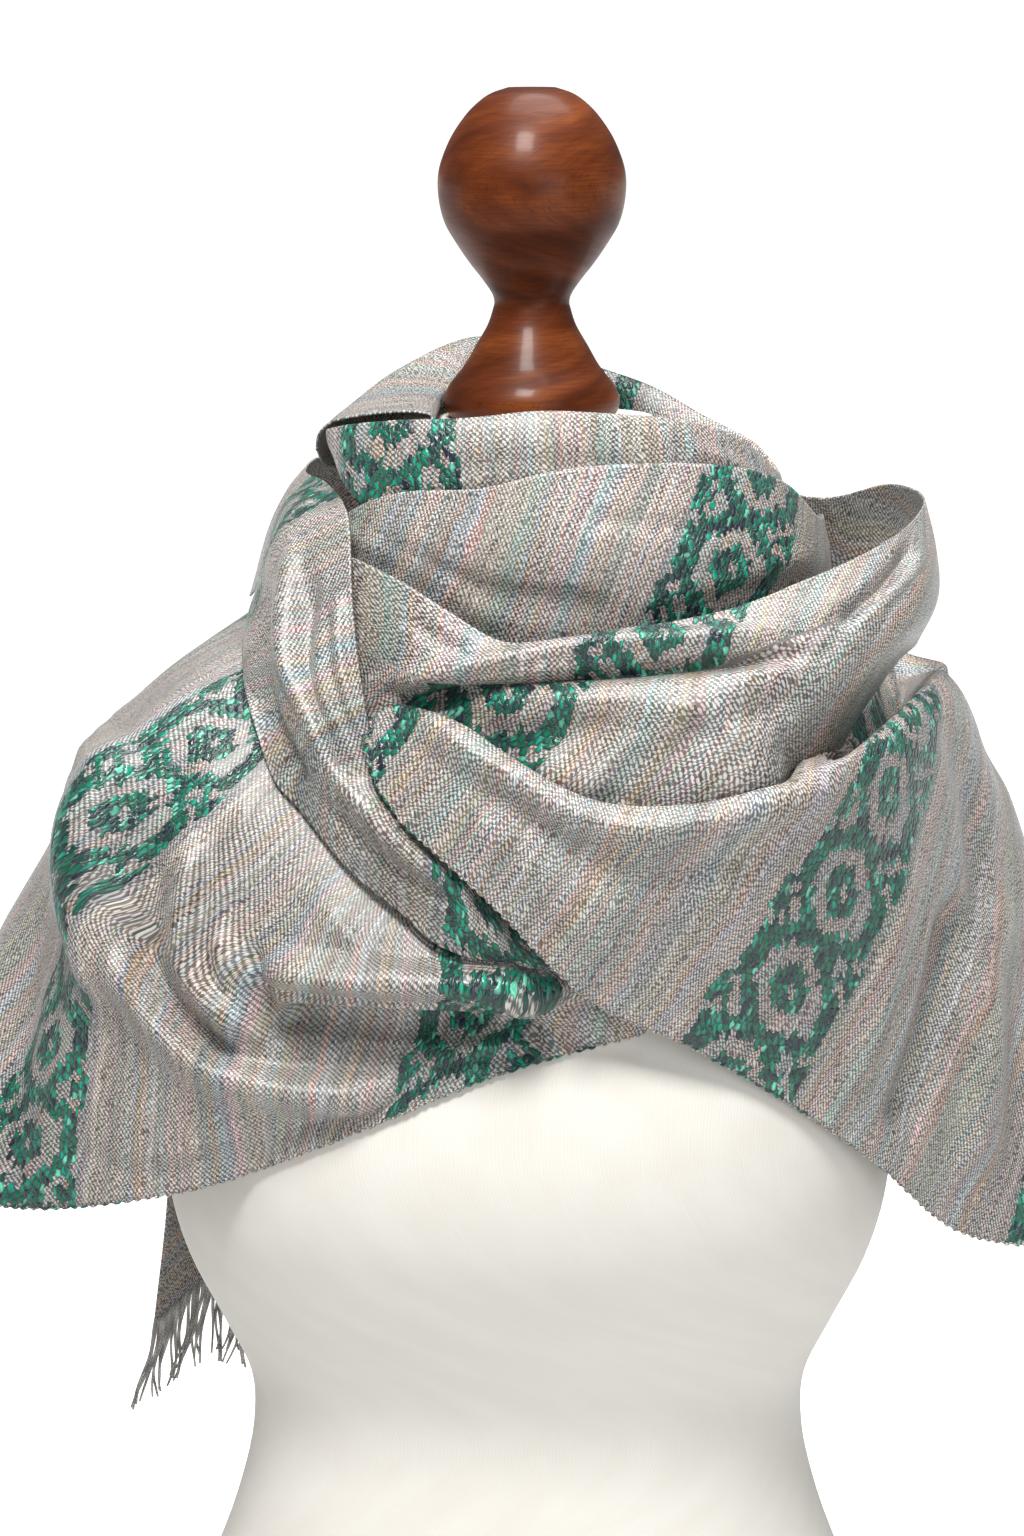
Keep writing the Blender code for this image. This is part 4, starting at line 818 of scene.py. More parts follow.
class Graph:
    """Short way to build a material from nodes."""

    def __init__(self, name):
        self.material = bpy.data.materials.new(name)
        self.material.use_nodes = True
        self.tree = self.material.node_tree
        self.shader = self.tree.nodes["Principled BSDF"]

    def node(self, kind, **settings):
        node = self.tree.nodes.new(kind)
        for name, value in settings.items():
            setattr(node, name, value)
        return node

    def feed(self, socket, value):
        if isinstance(value, bpy.types.NodeSocket):
            self.tree.links.new(value, socket)
        else:
            socket.default_value = value

    def calc(self, operation, *values):
        node = self.node("ShaderNodeMath", operation=operation)
        for socket, value in zip(node.inputs, values):
            self.feed(socket, value)
        return node.outputs[0]

    def map(self, value, low, high, to_low=0.0, to_high=1.0):
        node = self.node("ShaderNodeMapRange", clamp=True)
        for socket, given in zip(node.inputs, (value, low, high, to_low, to_high)):
            self.feed(socket, given)
        return node.outputs[0]

    def mix(self, share, first, second, blend="MIX"):
        node = self.node("ShaderNodeMix", data_type="RGBA", blend_type=blend)
        self.feed(node.inputs[0], share)
        self.feed(node.inputs[6], first if isinstance(first, bpy.types.NodeSocket) else (*first, 1.0))
        self.feed(node.inputs[7], second if isinstance(second, bpy.types.NodeSocket) else (*second, 1.0))
        return node.outputs[2]

    def ramp(self, value, stops, smooth=True):
        node = self.node("ShaderNodeValToRGB")
        node.color_ramp.interpolation = "LINEAR" if smooth else "CONSTANT"
        elements = node.color_ramp.elements
        while len(elements) < len(stops):
            elements.new(0.5)
        for element, (place, colour) in zip(elements, stops):
            element.position = place
            element.color = (*colour, 1.0)
        self.feed(node.inputs[0], value)
        return node.outputs[0]

    def noise(self, first, first_span, second, second_span, detail=2.0, rough=0.5):
        """Noise over two lengths, each with the millimetres over which it changes."""
        place = self.node("ShaderNodeCombineXYZ")
        self.feed(place.inputs[0], self.calc("DIVIDE", first, first_span))
        self.feed(place.inputs[1], self.calc("DIVIDE", second, second_span))
        node = self.node("ShaderNodeTexNoise", noise_dimensions="2D")
        self.feed(node.inputs["Vector"], place.outputs[0])
        node.inputs["Scale"].default_value = 1.0
        node.inputs["Detail"].default_value = detail
        node.inputs["Roughness"].default_value = rough
        return node.outputs[0]

    def lengths(self):
        """Millimetres along and across the cloth or surface."""
        split = self.node("ShaderNodeSeparateXYZ")
        uv = self.node("ShaderNodeUVMap", uv_map="UVMap")
        self.feed(split.inputs[0], uv.outputs[0])
        return (self.calc("MULTIPLY", split.outputs[0], 1000.0),
                self.calc("MULTIPLY", split.outputs[1], 1000.0))

    def bump(self, height, strength, distance):
        node = self.node("ShaderNodeBump")
        self.feed(node.inputs["Height"], height)
        node.inputs["Strength"].default_value = strength
        node.inputs["Distance"].default_value = distance
        self.feed(self.shader.inputs["Normal"], node.outputs[0])

    def surface(self, colour, roughness, constants):
        self.feed(self.shader.inputs["Base Color"], colour)
        self.feed(self.shader.inputs["Roughness"], roughness)
        for name, value in constants.items():
            self.shader.inputs[name].default_value = value


# Colours of the silk, from light threads to the green floats. The navy also paints the shadow around the
# floats.
SILVER = (0.86, 0.835, 0.80)
GREIGE = (0.42, 0.385, 0.35)
PINK = (0.80, 0.34, 0.37)
BLUE = (0.24, 0.46, 0.66)
GOLD = (0.70, 0.42, 0.13)
MINT = (0.27, 0.60, 0.46)
GREY = (0.15, 0.14, 0.135)
NAVY_AND_FLOAT_SHADOW = (0.012, 0.030, 0.050)
DARK_TEAL = (0.005, 0.070, 0.056)
EMERALD = (0.002, 0.190, 0.105)
TEAL = (0.006, 0.37, 0.235)
PALE_MINT = (0.16, 0.72, 0.50)

# Broad stripes through one repeat, as shares of it. The band takes the first part.
STRIPES = [
    (0.00, GREIGE), (0.28, GREIGE), (0.30, GOLD), (0.325, PINK), (0.35, GREIGE), (0.372, MINT),
    (0.395, GREY), (0.42, GOLD), (0.44, GREIGE), (0.47, BLUE), (0.50, GREY), (0.53, PINK),
    (0.55, GREIGE), (0.59, GREY), (0.62, BLUE), (0.645, PINK), (0.67, GOLD), (0.69, GREIGE),
    (0.73, MINT), (0.76, GREY), (0.79, GREIGE), (0.82, PINK), (0.845, BLUE), (0.87, GREIGE),
    (0.90, GOLD), (0.92, GREY), (0.95, PINK), (0.97, GREIGE), (1.00, GREIGE),
]
# Pinstripes, by the value of a noise that runs along them.
PINSTRIPES = [
    (0.28, BLUE), (0.33, GOLD), (0.38, GREIGE), (0.41, PINK), (0.44, GREIGE), (0.465, MINT),
    (0.49, GREY), (0.515, GREIGE), (0.54, BLUE), (0.565, GREIGE), (0.60, GOLD), (0.64, GREIGE),
    (0.68, PINK), (0.73, MINT),
]
THREAD_TINTS = [
    (0.0, GREIGE), (0.22, GOLD), (0.36, SILVER), (0.50, PINK), (0.62, GREY), (0.74, MINT), (0.88, BLUE),
]
THREAD = 1.2           # distance between threads
THREAD_SLIP = 0.22     # threads that one row of the weave can lie out of step
DRIFT = 4.0            # how far long bends carry the threads aside
WANDER = 2.8           # how far short ones do
FLOAT_WIDE = 2.3       # a float's size along the scarf
FLOAT_LONG = 4.4       # and across it
FLOAT_STAGGER = 2.0    # shift of every second row of floats

# The lozenges of a band, from its middle line outward and from an eye's middle toward the next.
LOZENGE = 48.0         # distance between eyes across the scarf
RING_SIDE = 24.0       # a ring's flat side
RING_SLOPE = (37.0, 26.5)
RING_THICK = 0.21      # half its width, as a share of its size
EYE_SIDE = 10.0
EYE_SLOPE = (15.0, 12.5)
EYE_RING = (0.65, 0.38)        # the eye's own ring, as a share of its size, and half its width
BLOCK_EDGE = 31.0      # the outer edge of the triangles between two rings
BLOCK_SLOPE = (13.0, 10.0)


def hexagon(g, aside, from_eye, side, slope):
    """Distance from an eye's middle in a pattern of flattened hexagons, 1 on the line itself."""
    slanted = g.calc("ADD", g.calc("DIVIDE", aside, slope[0]), g.calc("DIVIDE", from_eye, slope[1]))
    return g.calc("MAXIMUM", g.calc("DIVIDE", aside, side), slanted)


def wave(g, place):
    """Rounded rise and fall, one for each whole number."""
    return g.calc("ABSOLUTE", g.calc("SINE", g.calc("MULTIPLY", place, math.pi)))


def tinted(g, colour, value, stops):
    """Colour times a grey picked by a value."""
    greys = [(place, (grey, grey, grey)) for place, grey in stops]
    return g.mix(1.0, colour, g.ramp(value, greys), "MULTIPLY")


def make_silk(name, repeat):
    """Plain weave with pastel stripes, and bands of green floats in eyed lozenges."""
    g = Graph(name)
    along, across = g.lengths()
    drift = g.calc("SUBTRACT", g.noise(along, 9.0, across, 12.0), 0.5)
    wander = g.calc("SUBTRACT", g.noise(along, 3.4, across, 3.0), 0.5)
    along_bent = g.calc("MULTIPLY_ADD", drift, DRIFT, g.calc("MULTIPLY_ADD", wander, WANDER, along))
    across_bent = g.calc("MULTIPLY_ADD", drift, -DRIFT, g.calc("MULTIPLY_ADD", wander, -WANDER, across))
    light_row = g.calc("DIVIDE", along_bent, THREAD)
    thread = g.node("ShaderNodeTexWhiteNoise", noise_dimensions="1D")
    g.feed(thread.inputs["W"], g.calc("FLOOR", light_row))
    dark_row = g.calc("MULTIPLY_ADD", thread.outputs["Value"], THREAD_SLIP,
                      g.calc("DIVIDE", across_bent, THREAD))
    turns = [g.calc("SINE", g.calc("MULTIPLY", row, math.pi)) for row in (light_row, dark_row)]
    weave = g.calc("MULTIPLY_ADD", g.calc("MULTIPLY", *turns), 0.5, 0.5)
    on_top = g.map(weave, 0.42, 0.56)

    phase = g.calc("FRACT", g.calc("DIVIDE", along_bent, repeat))
    pins = g.noise(along_bent, 2.6, across, 200.0)
    stripe = g.mix(0.55, g.ramp(phase, STRIPES), g.ramp(pins, PINSTRIPES))
    stripe = g.mix(0.4, stripe, g.ramp(thread.outputs["Value"], THREAD_TINTS, smooth=False))
    tone = g.noise(along_bent, 1.5, across, 26.0)
    stripe = tinted(g, stripe, tone, [(0.34, 0.62), (0.62, 1.0)])
    cloud = g.noise(along_bent, 9.0, across, 160.0)
    light = tinted(g, g.mix(0.58, SILVER, stripe), cloud, [(0.36, 0.8), (0.60, 1.0)])
    dark = tinted(g, stripe, tone, [(0.3, 0.5), (0.7, 0.8)])
    # Painted shade: the ground is darkened by the weave's height, to about half over the lower threads and
    # at the crossings' edges, so only the light threads' crowns keep their full colour.
    ground = tinted(g, g.mix(on_top, dark, light), weave,
                    [(0.0, 0.50), (0.5, 0.46), (0.72, 1.0), (1.0, 1.0)])

    into_band = g.calc("MULTIPLY", phase, repeat)
    row = g.calc("FLOOR", g.calc("DIVIDE", into_band, FLOAT_WIDE))
    row_odd = g.calc("MULTIPLY", g.calc("FRACT", g.calc("MULTIPLY", row, 0.5)), 2.0)
    place = g.calc("DIVIDE", g.calc("MULTIPLY_ADD", row_odd, FLOAT_STAGGER, across_bent), FLOAT_LONG)
    column = g.calc("FLOOR", place)
    mid_row = g.calc("MULTIPLY", g.calc("ADD", row, 0.5), FLOAT_WIDE)
    mid_column = g.calc("MULTIPLY", g.calc("ADD", column, 0.5), FLOAT_LONG)
    in_lozenge = g.calc("MULTIPLY", g.calc("FRACT", g.calc("DIVIDE", mid_column, LOZENGE)), LOZENGE)
    aside = g.calc("ABSOLUTE", g.calc("SUBTRACT", mid_row, BAND / 2))
    from_eye = g.calc("ABSOLUTE", g.calc("SUBTRACT", in_lozenge, LOZENGE / 2))
    ring = g.calc("COMPARE", hexagon(g, aside, from_eye, RING_SIDE, RING_SLOPE), 1.0, RING_THICK)
    eye = g.calc("COMPARE", hexagon(g, aside, from_eye, EYE_SIDE, EYE_SLOPE), *EYE_RING)
    to_edge = g.calc("SUBTRACT", BLOCK_EDGE, aside)
    to_joint = g.calc("SUBTRACT", LOZENGE / 2, from_eye)
    block = g.calc("ADD", g.calc("DIVIDE", to_edge, BLOCK_SLOPE[0]),
                   g.calc("DIVIDE", to_joint, BLOCK_SLOPE[1]))
    block = g.calc("MULTIPLY", g.calc("LESS_THAN", block, 1.0), g.calc("GREATER_THAN", to_edge, 0.0))
    drawn = g.calc("MAXIMUM", g.calc("MAXIMUM", ring, eye), block)
    in_band = g.calc("LESS_THAN", into_band, BAND)
    drawn = g.calc("MULTIPLY", drawn, in_band)
    float_round = g.calc("MULTIPLY", wave(g, g.calc("DIVIDE", into_band, FLOAT_WIDE)), wave(g, place))
    float_round = g.calc("POWER", float_round, 0.5)
    raised = g.calc("MULTIPLY", drawn, g.map(float_round, 0.28, 0.42))
    cell = g.node("ShaderNodeCombineXYZ")
    g.feed(cell.inputs[0], row)
    g.feed(cell.inputs[1], column)
    g.feed(cell.inputs[2], g.calc("FLOOR", g.calc("DIVIDE", along_bent, repeat)))
    pick = g.node("ShaderNodeTexWhiteNoise", noise_dimensions="3D")
    g.feed(pick.inputs["Vector"], cell.outputs[0])
    yarn = g.ramp(pick.outputs["Value"], [(0.0, NAVY_AND_FLOAT_SHADOW), (0.08, DARK_TEAL), (0.34, EMERALD), (0.72, TEAL),
                                          (0.93, PALE_MINT)], smooth=False)
    patch = g.noise(along, 16.0, across, 16.0, 1.0)
    yarn = g.mix(g.map(patch, 0.45, 0.65, 0.0, 0.4), yarn, DARK_TEAL)
    # Painted sheen: fine lighter and darker streaks run along each float.
    ply_shading = g.noise(along_bent, 0.45, across_bent, 5.0, 1.0)
    yarn = tinted(g, yarn, ply_shading, [(0.35, 0.6), (0.65, 1.0)])
    # Painted shade: each float darkens to a quarter of its colour toward its edges, as if lit along its
    # rounded middle.
    yarn = tinted(g, yarn, float_round, [(0.35, 0.25), (0.9, 1.0)])
    # Painted shadow: the ground between the floats of a drawn figure is darkened most of the way to navy;
    # the rest of the band's ground is tinted a little toward navy too.
    ground = g.mix(g.map(g.calc("ADD", drawn, in_band), 0.8, 2.0, 0.0, 0.85), ground, NAVY_AND_FLOAT_SHADOW)
    colour = g.mix(raised, ground, yarn)
    g.surface(colour, g.map(raised, 0.0, 1.0, 0.4, 0.28),
              {"Sheen Weight": 0.1, "Sheen Roughness": 0.4, "Specular IOR Level": 0.6})
    relief = g.calc("ADD", g.calc("MULTIPLY", g.map(weave, 0.3, 1.0), 0.13),
                    g.calc("MULTIPLY", raised, g.calc("MULTIPLY", float_round, 0.6)))
    g.bump(relief, 0.85, 0.001)
    return g.material


def make_yarn():
    """Loose silk yarn, grey with lighter plies, and painted shade in the grooves between them."""
    g = Graph("silk_yarn")
    along, around = g.lengths()
    ply_shading = g.calc("ABSOLUTE", g.calc("SINE", g.calc("ADD", g.calc("MULTIPLY", along, 1.9),
                                                   g.calc("MULTIPLY", around, 1.2))))
    fleck = g.noise(along, 9.0, around, 5.0)
    colour = g.ramp(fleck, [(0.3, (0.26, 0.25, 0.245)), (0.5, (0.46, 0.44, 0.425)),
                            (0.7, (0.72, 0.70, 0.67))])
    # Painted shade: the colour falls to half in the grooves between the twisted plies.
    colour = g.mix(1.0, colour, g.ramp(ply_shading, [(0.0, (0.5, 0.5, 0.5)), (0.6, (1.0, 1.0, 1.0))]), "MULTIPLY")
    g.surface(colour, 0.55, {"Sheen Weight": 0.3})
    g.bump(ply_shading, 0.5, 0.0006)
    return g.material


RIB = 1.4               # distance between the jersey's ribs


def make_jersey():
    """Fine ivory knit with upright ribs."""
    g = Graph("ivory_jersey")
    around, up = g.lengths()
    stray = g.noise(around, 5.0, up, 40.0, 3.0)
    knit = wave(g, g.calc("MULTIPLY_ADD", stray, 1.6, g.calc("DIVIDE", around, RIB)))
    cloud = g.noise(around, 30.0, up, 34.0, 3.0)
    colour = g.ramp(cloud, [(0.3, (0.71, 0.685, 0.63)), (0.7, (0.74, 0.72, 0.67))])
    # Painted shade: the colour is a little darker in the grooves between the ribs.
    colour = tinted(g, colour, knit, [(0.0, 0.95), (0.8, 1.0)])
    g.surface(colour, 0.85, {"Sheen Weight": 0.1, "Specular IOR Level": 0.3})
    g.bump(knit, 0.12, 0.0003)
    return g.material


def make_mahogany():
    """Red-brown wood turned on a lathe, with fine rings under a satin varnish."""
    g = Graph("turned_mahogany")
    around, up = g.lengths()
    grain = g.noise(around, 16.0, up, 0.9, 4.0, 0.55)
    figure = g.noise(around, 34.0, up, 22.0, 3.0)
    pores = g.noise(around, 0.8, up, 5.0)
    colour = g.ramp(figure, [(0.3, (0.062, 0.012, 0.002)), (0.5, (0.115, 0.025, 0.005)),
                             (0.7, (0.18, 0.045, 0.010))])
    colour = g.mix(g.map(grain, 0.40, 0.62, 0.0, 0.35), colour, (0.045, 0.009, 0.004))
    colour = g.mix(g.map(pores, 0.60, 0.72, 0.0, 0.5), colour, (0.03, 0.006, 0.003))
    g.surface(colour, g.map(figure, 0.3, 0.7, 0.46, 0.38),
              {"Specular IOR Level": 0.14, "Coat Weight": 0.1, "Coat Roughness": 0.14})
    g.bump(grain, 0.06, 0.0003)
    return g.material


def piece(name, points, faces, uvs, material):
    """Smooth mesh from millimetres, with its cloth lengths as texture places, that rides on the form."""
    mesh = bpy.data.meshes.new(name)
    mesh.from_pydata((np.asarray(points) * MM).tolist(), [], faces)
    layer = mesh.uv_layers.new(name="UVMap")
    corners = np.empty(len(mesh.loops), dtype=np.int32)
    mesh.loops.foreach_get("vertex_index", corners)
    layer.data.foreach_set("uv", (np.asarray(uvs)[corners] * MM).ravel())
    mesh.materials.append(material)
    mesh.shade_smooth()
    mesh.update()
    obj = bpy.data.objects.new(name, mesh)
    bpy.context.scene.collection.objects.link(obj)
    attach(obj, "root")
    return obj


def smooth_rings(table):
    """Rings of a table of heights and measures, with more of them between."""
    table = [(row[0], 0.0, 0.0, *row[1:]) for row in table]
    fine = curve_through(table, [RINGS_BETWEEN] * (len(table) - 1))
    return [(row[0], *row[3:]) for row in fine]


def turned_piece(name, heights, rings, material):
    """Closed stack of rings with a flat end at the bottom and the top."""
    points = []
    uvs = []
    for height, ring in zip(heights, rings):
        closed = [*ring, ring[0]]
        points += closed
        uvs += [(length, height) for length in run_of(closed)]
    faces = []
    sides = len(rings[0])
    row = sides + 1
    for low in range(len(rings) - 1):
        for side in range(sides):
            a = low * row + side
            faces.append((a, a + 1, a + 1 + row, a + row))
    top = (len(rings) - 1) * row
    faces.append(tuple(reversed(range(sides))))
    faces.append(tuple(range(top, top + sides)))
    obj = piece(name, points, faces, uvs, material)
    obj.data.set_sharp_from_angle(angle=math.radians(50))
    return obj


def make_form(material):
    """The torso in smooth level sections on its flat base."""
    turn = 2 * math.pi * np.arange(FORM_SIDES) / FORM_SIDES
    aside, backward = (np.copysign(np.abs(part) ** (2 / FORM_POWER), part)
                       for part in (np.cos(turn), np.sin(turn)))
    heights = []
    rings = []
    for height, half_width, front, back in smooth_rings(FORM_RINGS):
        depth = np.where(backward > 0, back, front)
        heights.append(height)
        rings.append(np.stack([half_width * aside, depth * backward,
                               np.full(FORM_SIDES, height)], axis=1))
    obj = turned_piece("jersey_form", heights, rings, material)
    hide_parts("dress_form")
    return obj


def make_finial(material):
    """The turned knob that stands on the neck."""
    turn = 2 * math.pi * np.arange(FINIAL_SIDES) / FINIAL_SIDES
    heights = []
    rings = []
    for height, radius in smooth_rings(FINIAL_TURNS):
        heights.append(height)
        rings.append(np.stack([FINIAL_ASIDE + radius * np.cos(turn), radius * np.sin(turn),
                               np.full(FINIAL_SIDES, NECK_TOP + STAND_OFF + height)], axis=1))
    obj = turned_piece("mahogany_finial", heights, rings, material)
    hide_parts("neck_finial")
    return obj


def solid_tree(obj):
    """Search tree of a solid, in millimetres."""
    points = [tuple(value / MM for value in vertex.co) for vertex in obj.data.vertices]
    faces = [tuple(polygon.vertices) for polygon in obj.data.polygons]
    return BVHTree.FromPolygons(points, faces)


CREASE_JUMP = 2.5      # a steeper change of the length along is a crease that hides cloth
CREASE_TRUST = 0.01    # how much such a cell counts
THREAD_ROUNDS = 700    # steps of the search for the lengths across
THREAD_MISFIT = 1e-8   # how well they have to fit for it to stop sooner
TINY_AREA = 1e-6       # the same for an area


def make_grids(form, finial):
    """Grid of every stretch of the scarf, each laid over those before it."""
    stands = [(solid_tree(obj), OFF_BODY) for obj in (form, finial)]
    grids = {}
    cloth = {}
    trees = {}
    for stretch in STRETCHES:
        hidden = COWL_HIDDEN if stretch.name == "front_cowl" else None
        grid, along = grid_through(stretch.sections, stretch.cloth, hidden, stretch.along, stretch.across)
        grid = folded(grid, stretch.folds, stretch.view)
        under = [(trees[name], LAYERS_APART) for name in stretch.over]
        grid = pushed_out(grid, stands + under, stretch.reach)
        if stretch.start in grids:
            grid = eased_to(grid, grids[stretch.start][-1], last=False)
        if stretch.end in grids:
            grid = eased_to(grid, grids[stretch.end][0], last=True)
        grids[stretch.name] = grid
        cloth[stretch.name] = along
        trees[stretch.name] = outer_tree(grid)
    return grids, cloth


def thread_steps(grid, along):
    """How much the length across changes over each cell, down the grid and to its side.

    The threads across are square to the lengths along, whichever way those run on the grid.
    """
    down = grid[1:, :-1] - grid[:-1, :-1]
    side = grid[:-1, 1:] - grid[:-1, :-1]
    rise_down = along[1:, :-1] - along[:-1, :-1]
    rise_side = along[:-1, 1:] - along[:-1, :-1]
    down_down = (down * down).sum(-1)
    side_side = (side * side).sum(-1)
    down_side = (down * side).sum(-1)
    spread = np.maximum(down_down * side_side - down_side ** 2, TINY_AREA)
    slope = ((rise_down * side_side - rise_side * down_side) / spread)[..., None] * down
    slope += ((rise_side * down_down - rise_down * down_side) / spread)[..., None] * side
    steep = np.linalg.norm(slope, axis=-1)
    thread = np.cross(slope, unit(np.cross(down, side))) / np.maximum(steep, TINY)[..., None]
    jump = steep > CREASE_JUMP
    want_down = np.where(jump, 0.0, (thread * down).sum(-1))
    want_side = np.where(jump, -np.sqrt(side_side), (thread * side).sum(-1))
    trust = np.where(jump, CREASE_TRUST, 1.0)
    return want_down, want_side, trust / down_down, trust / side_side


def cloth_lengths(grid, along):
    """Texture places of a grid: how far along the scarf, and how far in from its edge."""
    want_down, want_side, down_weight, side_weight = thread_steps(grid, along)
    one_column, one_row = ((0, 0), (0, 1)), ((0, 1), (0, 0))
    want_down, down_weight = (np.pad(part, one_column, mode="edge") for part in (want_down, down_weight))
    want_side, side_weight = (np.pad(part, one_row, mode="edge") for part in (want_side, side_weight))

    def gathered(down_part, side_part):
        total = np.zeros_like(along)
        total[1:] += down_part
        total[:-1] -= down_part
        total[:, 1:] += side_part
        total[:, :-1] -= side_part
        return total

    steps = np.linalg.norm(np.diff(grid, axis=1), axis=2)
    inward = np.cumsum(steps[:, ::-1], axis=1)[:, ::-1]
    across = np.concatenate([inward, np.zeros((len(grid), 1))], axis=1)
    across[1:] += np.cumsum(want_down.mean(axis=1))[:, None]
    left_over = gathered(down_weight * (want_down - np.diff(across, axis=0)),
                         side_weight * (want_side - np.diff(across, axis=1)))
    move = left_over.copy()
    size = (left_over ** 2).sum()
    for _ in range(THREAD_ROUNDS):
        pulled = gathered(down_weight * np.diff(move, axis=0), side_weight * np.diff(move, axis=1))
        share = size / (move * pulled).sum()
        across += share * move
        left_over -= share * pulled
        size, before = (left_over ** 2).sum(), size
        if size < THREAD_MISFIT:
            break
        move = left_over + size / before * move
    return np.stack([along, across], axis=2)


def make_wall(name, grid, lengths, material):
    """Closed wall of cloth, half its thickness to each side of the grid."""
    rows, columns = grid.shape[:2]
    half = outward(grid) * WALL / 2
    points = np.concatenate([(grid + half).reshape(-1, 3), (grid - half).reshape(-1, 3)])
    uvs = np.concatenate([lengths.reshape(-1, 2)] * 2)
    behind = rows * columns
    faces = cells(rows, columns)
    faces += [tuple(behind + face[corner] for corner in (0, 3, 2, 1)) for face in faces]
    number = np.arange(behind).reshape(rows, columns)
    edge = np.concatenate([number[0], number[1:, -1], number[-1, -2::-1], number[-2:0:-1, 0]]).tolist()
    for a, b in zip(edge, edge[1:] + edge[:1]):
        faces.append((a, b, b + behind, a + behind))
    if looks_inward(grid):
        faces = [tuple(reversed(face)) for face in faces]
    return piece(name, points, faces, uvs, material)


def make_sheets(grids, cloth, special, silk):
    """Walls of cloth, one for each run of stretches, with the grids that they came from."""
    made = {}
    for sheet in SHEETS:
        rows = []
        along = []
        joints = []
        for name in sheet.stretches:
            last = name == sheet.stretches[-1]
            rows.append(grids[name] if last else grids[name][:-1])
            along.append(cloth[name] if last else cloth[name][:-1])
            joints.append(sum(map(len, rows)))
        grid = np.concatenate(rows)
        for joint in joints[:-1]:
            grid = smoothed_at(grid, joint)
        lengths = cloth_lengths(grid, np.concatenate(along))
        if sheet.name.endswith("end_silk"):
            lengths = end_lengths(grid, lengths)
        obj = make_wall(sheet.name, grid, lengths, special.get(sheet.name, silk))
        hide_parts(*sheet.stretches)
        made[sheet.name] = (obj, grid, lengths)
    return made


def end_lengths(grid, lengths):
    """Texture places of an end, which hangs with the scarf's length downward."""
    across = added_up(row_steps(grid))
    return np.stack([lengths[..., 0], np.repeat(across[:, None], grid.shape[1], axis=1)], axis=2)


TUBE_GUIDE = (0.31, 0.85, 0.42)        # a direction that no yarn runs in


def tube(path, radius, sides, start=0.0):
    """Points, faces and texture places of a closed tube along a path, with a radius for each point."""
    path = np.asarray(path, dtype=float)
    radius = np.broadcast_to(radius, len(path))
    tangent = unit(np.gradient(path, axis=0))
    first = unit(np.cross(tangent, TUBE_GUIDE))
    second = np.cross(tangent, first)
    points = []
    uvs = []
    for place, side, up, wide, length in zip(path, first, second, radius, run_of(path)):
        for corner in range(sides):
            angle = 2 * math.pi * corner / sides
            points.append(place + wide * (math.cos(angle) * side + math.sin(angle) * up))
            uvs.append((start + length, wide * angle))
    faces = [tuple(reversed(range(sides)))]
    for ring in range(len(path) - 1):
        for corner in range(sides):
            a = ring * sides + corner
            b = ring * sides + (corner + 1) % sides
            faces.append((a, b, b + sides, a + sides))
    top = (len(path) - 1) * sides
    faces.append(tuple(range(top, top + sides)))
    return points, faces, uvs


def joined_tubes(name, tubes, material):
    """Many tubes as one mesh."""
    points = []
    faces = []
    uvs = []
    for part_points, part_faces, part_uvs in tubes:
        base = len(points)
        points += part_points
        uvs += part_uvs
        faces += [tuple(base + corner for corner in face) for face in part_faces]
    return piece(name, points, faces, uvs, material)


# The fringe: strands at each end, their length and thickness, and how they hang.
STRANDS = 84
CLUMP = 4              # strands that hang together
STRAND_LENGTH = 50.0
STRAND_RADIUS = 1.0
STRAND_BENDS = 12
STRAND_SIDES = 5
STRAND_ABOVE = 0.6     # how far inside the end's edge a strand starts
STRAND_UNEVEN = 0.12   # share by which the lengths and thicknesses vary
STRAND_THINS = 0.45    # share of its radius that a strand loses toward its tip
STRAND_PHASE = 2.4     # from one strand's bends to the next one's
STRAND_SWAY = 0.9      # how far a strand swings aside by itself
CLUMP_SWAY = 2.6       # and with its clump
CLUMP_PULL = 0.7       # how far a clump draws its strands together, as a share
FRINGE_START = 13.0    # yarn between one strand's flecks and the next one's
FLARE = 11.0           # how far the outermost strand swings out


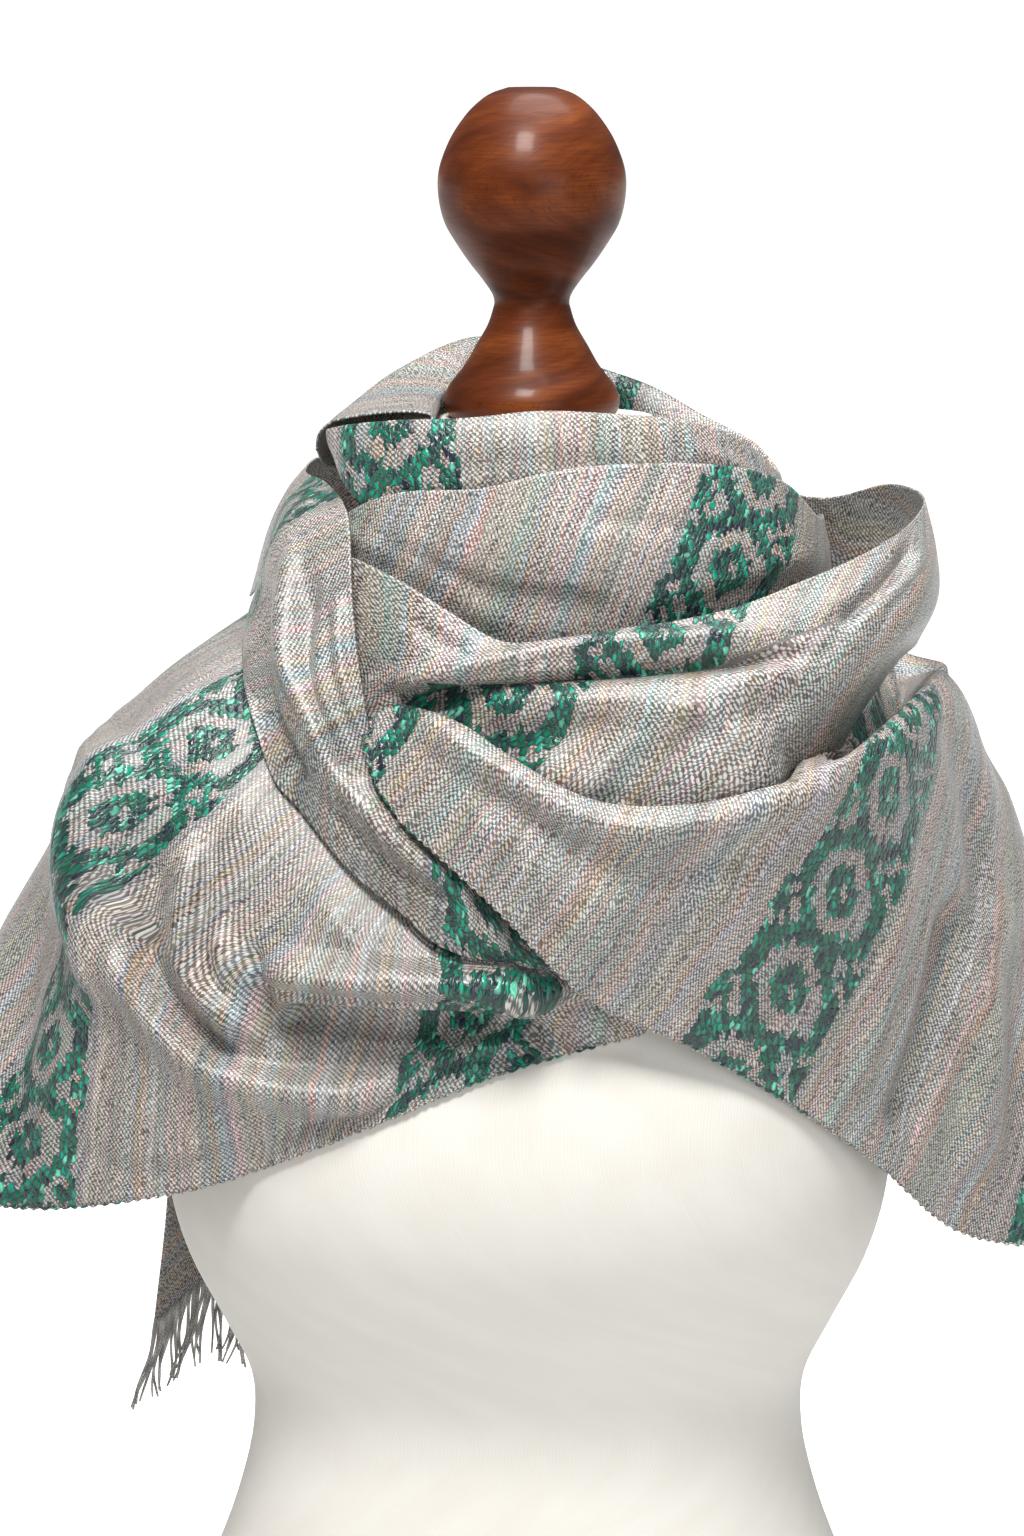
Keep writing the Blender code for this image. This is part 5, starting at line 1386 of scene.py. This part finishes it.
def make_fringe(name, node, hem, material):
    """Strands of yarn that hang from under an end's hem."""
    run = run_of(hem)
    tubes = []
    for strand in range(STRANDS):
        phase = strand * STRAND_PHASE
        clump = strand // CLUMP
        gather = (clump + 0.5) * CLUMP - strand - 0.5
        place = run[-1] * (strand + 0.5 + 0.25 * math.sin(phase * 1.9)) / STRANDS
        root = np.array([np.interp(place, run, hem[:, axis]) for axis in range(3)])
        length = STRAND_LENGTH * (1.0 - STRAND_UNEVEN + STRAND_UNEVEN * math.sin(phase * 1.3))
        down = np.linspace(0.0, 1.0, STRAND_BENDS)
        flare = FLARE * (1.0 - place / run[-1]) ** 2
        sway = CLUMP_SWAY * np.sin(1.9 * clump + 5.2 * down)
        sway += STRAND_SWAY * np.sin(phase + 8.0 * down)
        path = np.stack([
            root[0] + down * (sway + CLUMP_PULL * gather - flare),
            root[1] + down * (2.4 * np.sin(2.3 * clump + 4.4 * down) + 0.8 * np.sin(phase)),
            root[2] + STRAND_ABOVE - down * length,
        ], axis=1)
        wide = STRAND_RADIUS * (1.0 - STRAND_THINS * down)
        wide *= 1.0 + STRAND_UNEVEN * np.sin(phase + 9.0 * down)
        tubes.append(tube(path, wide, STRAND_SIDES, start=strand * FRINGE_START))
    obj = joined_tubes(name, tubes, material)
    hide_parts(node)
    return obj


SELVEDGE_STEP = 1.1
SELVEDGE_LOOP = 0.55   # how far its loops swing out
SELVEDGE_RADIUS = 0.62
SELVEDGE_SIDES = 6


def make_selvedge(name, grid, material):
    """Thicker outermost yarn along a sheet's edge, in small uneven loops."""
    edge = grid[:, -1]
    run = run_of(edge)
    places = np.arange(0.0, run[-1], SELVEDGE_STEP)
    path = np.stack([np.interp(places, run, edge[:, axis]) for axis in range(3)], axis=1)
    inward = unit(grid[:, -2] - grid[:, -1])
    aside = np.stack([np.interp(places, run, inward[:, axis]) for axis in range(3)], axis=1)
    loop = SELVEDGE_LOOP * np.sin(places * 1.25 + 0.8 * np.sin(places * 0.19))
    path = path + aside * loop[:, None]
    wide = SELVEDGE_RADIUS + 0.14 * np.sin(places * 2.1) + 0.08 * np.sin(places * 0.37)
    return joined_tubes(name, [tube(path, wide, SELVEDGE_SIDES)], material)


def main():
    """Everything that the object shows."""
    silk = make_silk("handwoven_silk", REPEAT)
    wide_silk = make_silk("handwoven_silk_wide_repeat", WIDE_REPEAT)
    yarn = make_yarn()
    form = make_form(make_jersey())
    finial = make_finial(make_mahogany())
    grids, cloth = make_grids(form, finial)
    made = make_sheets(grids, cloth, {"inner_loop_silk": wide_silk}, silk)
    extras = {
        "mantle_silk": [make_selvedge("mantle_selvedge", made["mantle_silk"][1], silk)],
        "left_end_silk": [make_fringe("left_end_fringe", "left_fringe", grids["left_end"][:, -1], yarn)],
        "right_end_silk": [make_fringe("right_end_fringe", "right_fringe", grids["right_end"][:, -1], yarn)],
    }


main()
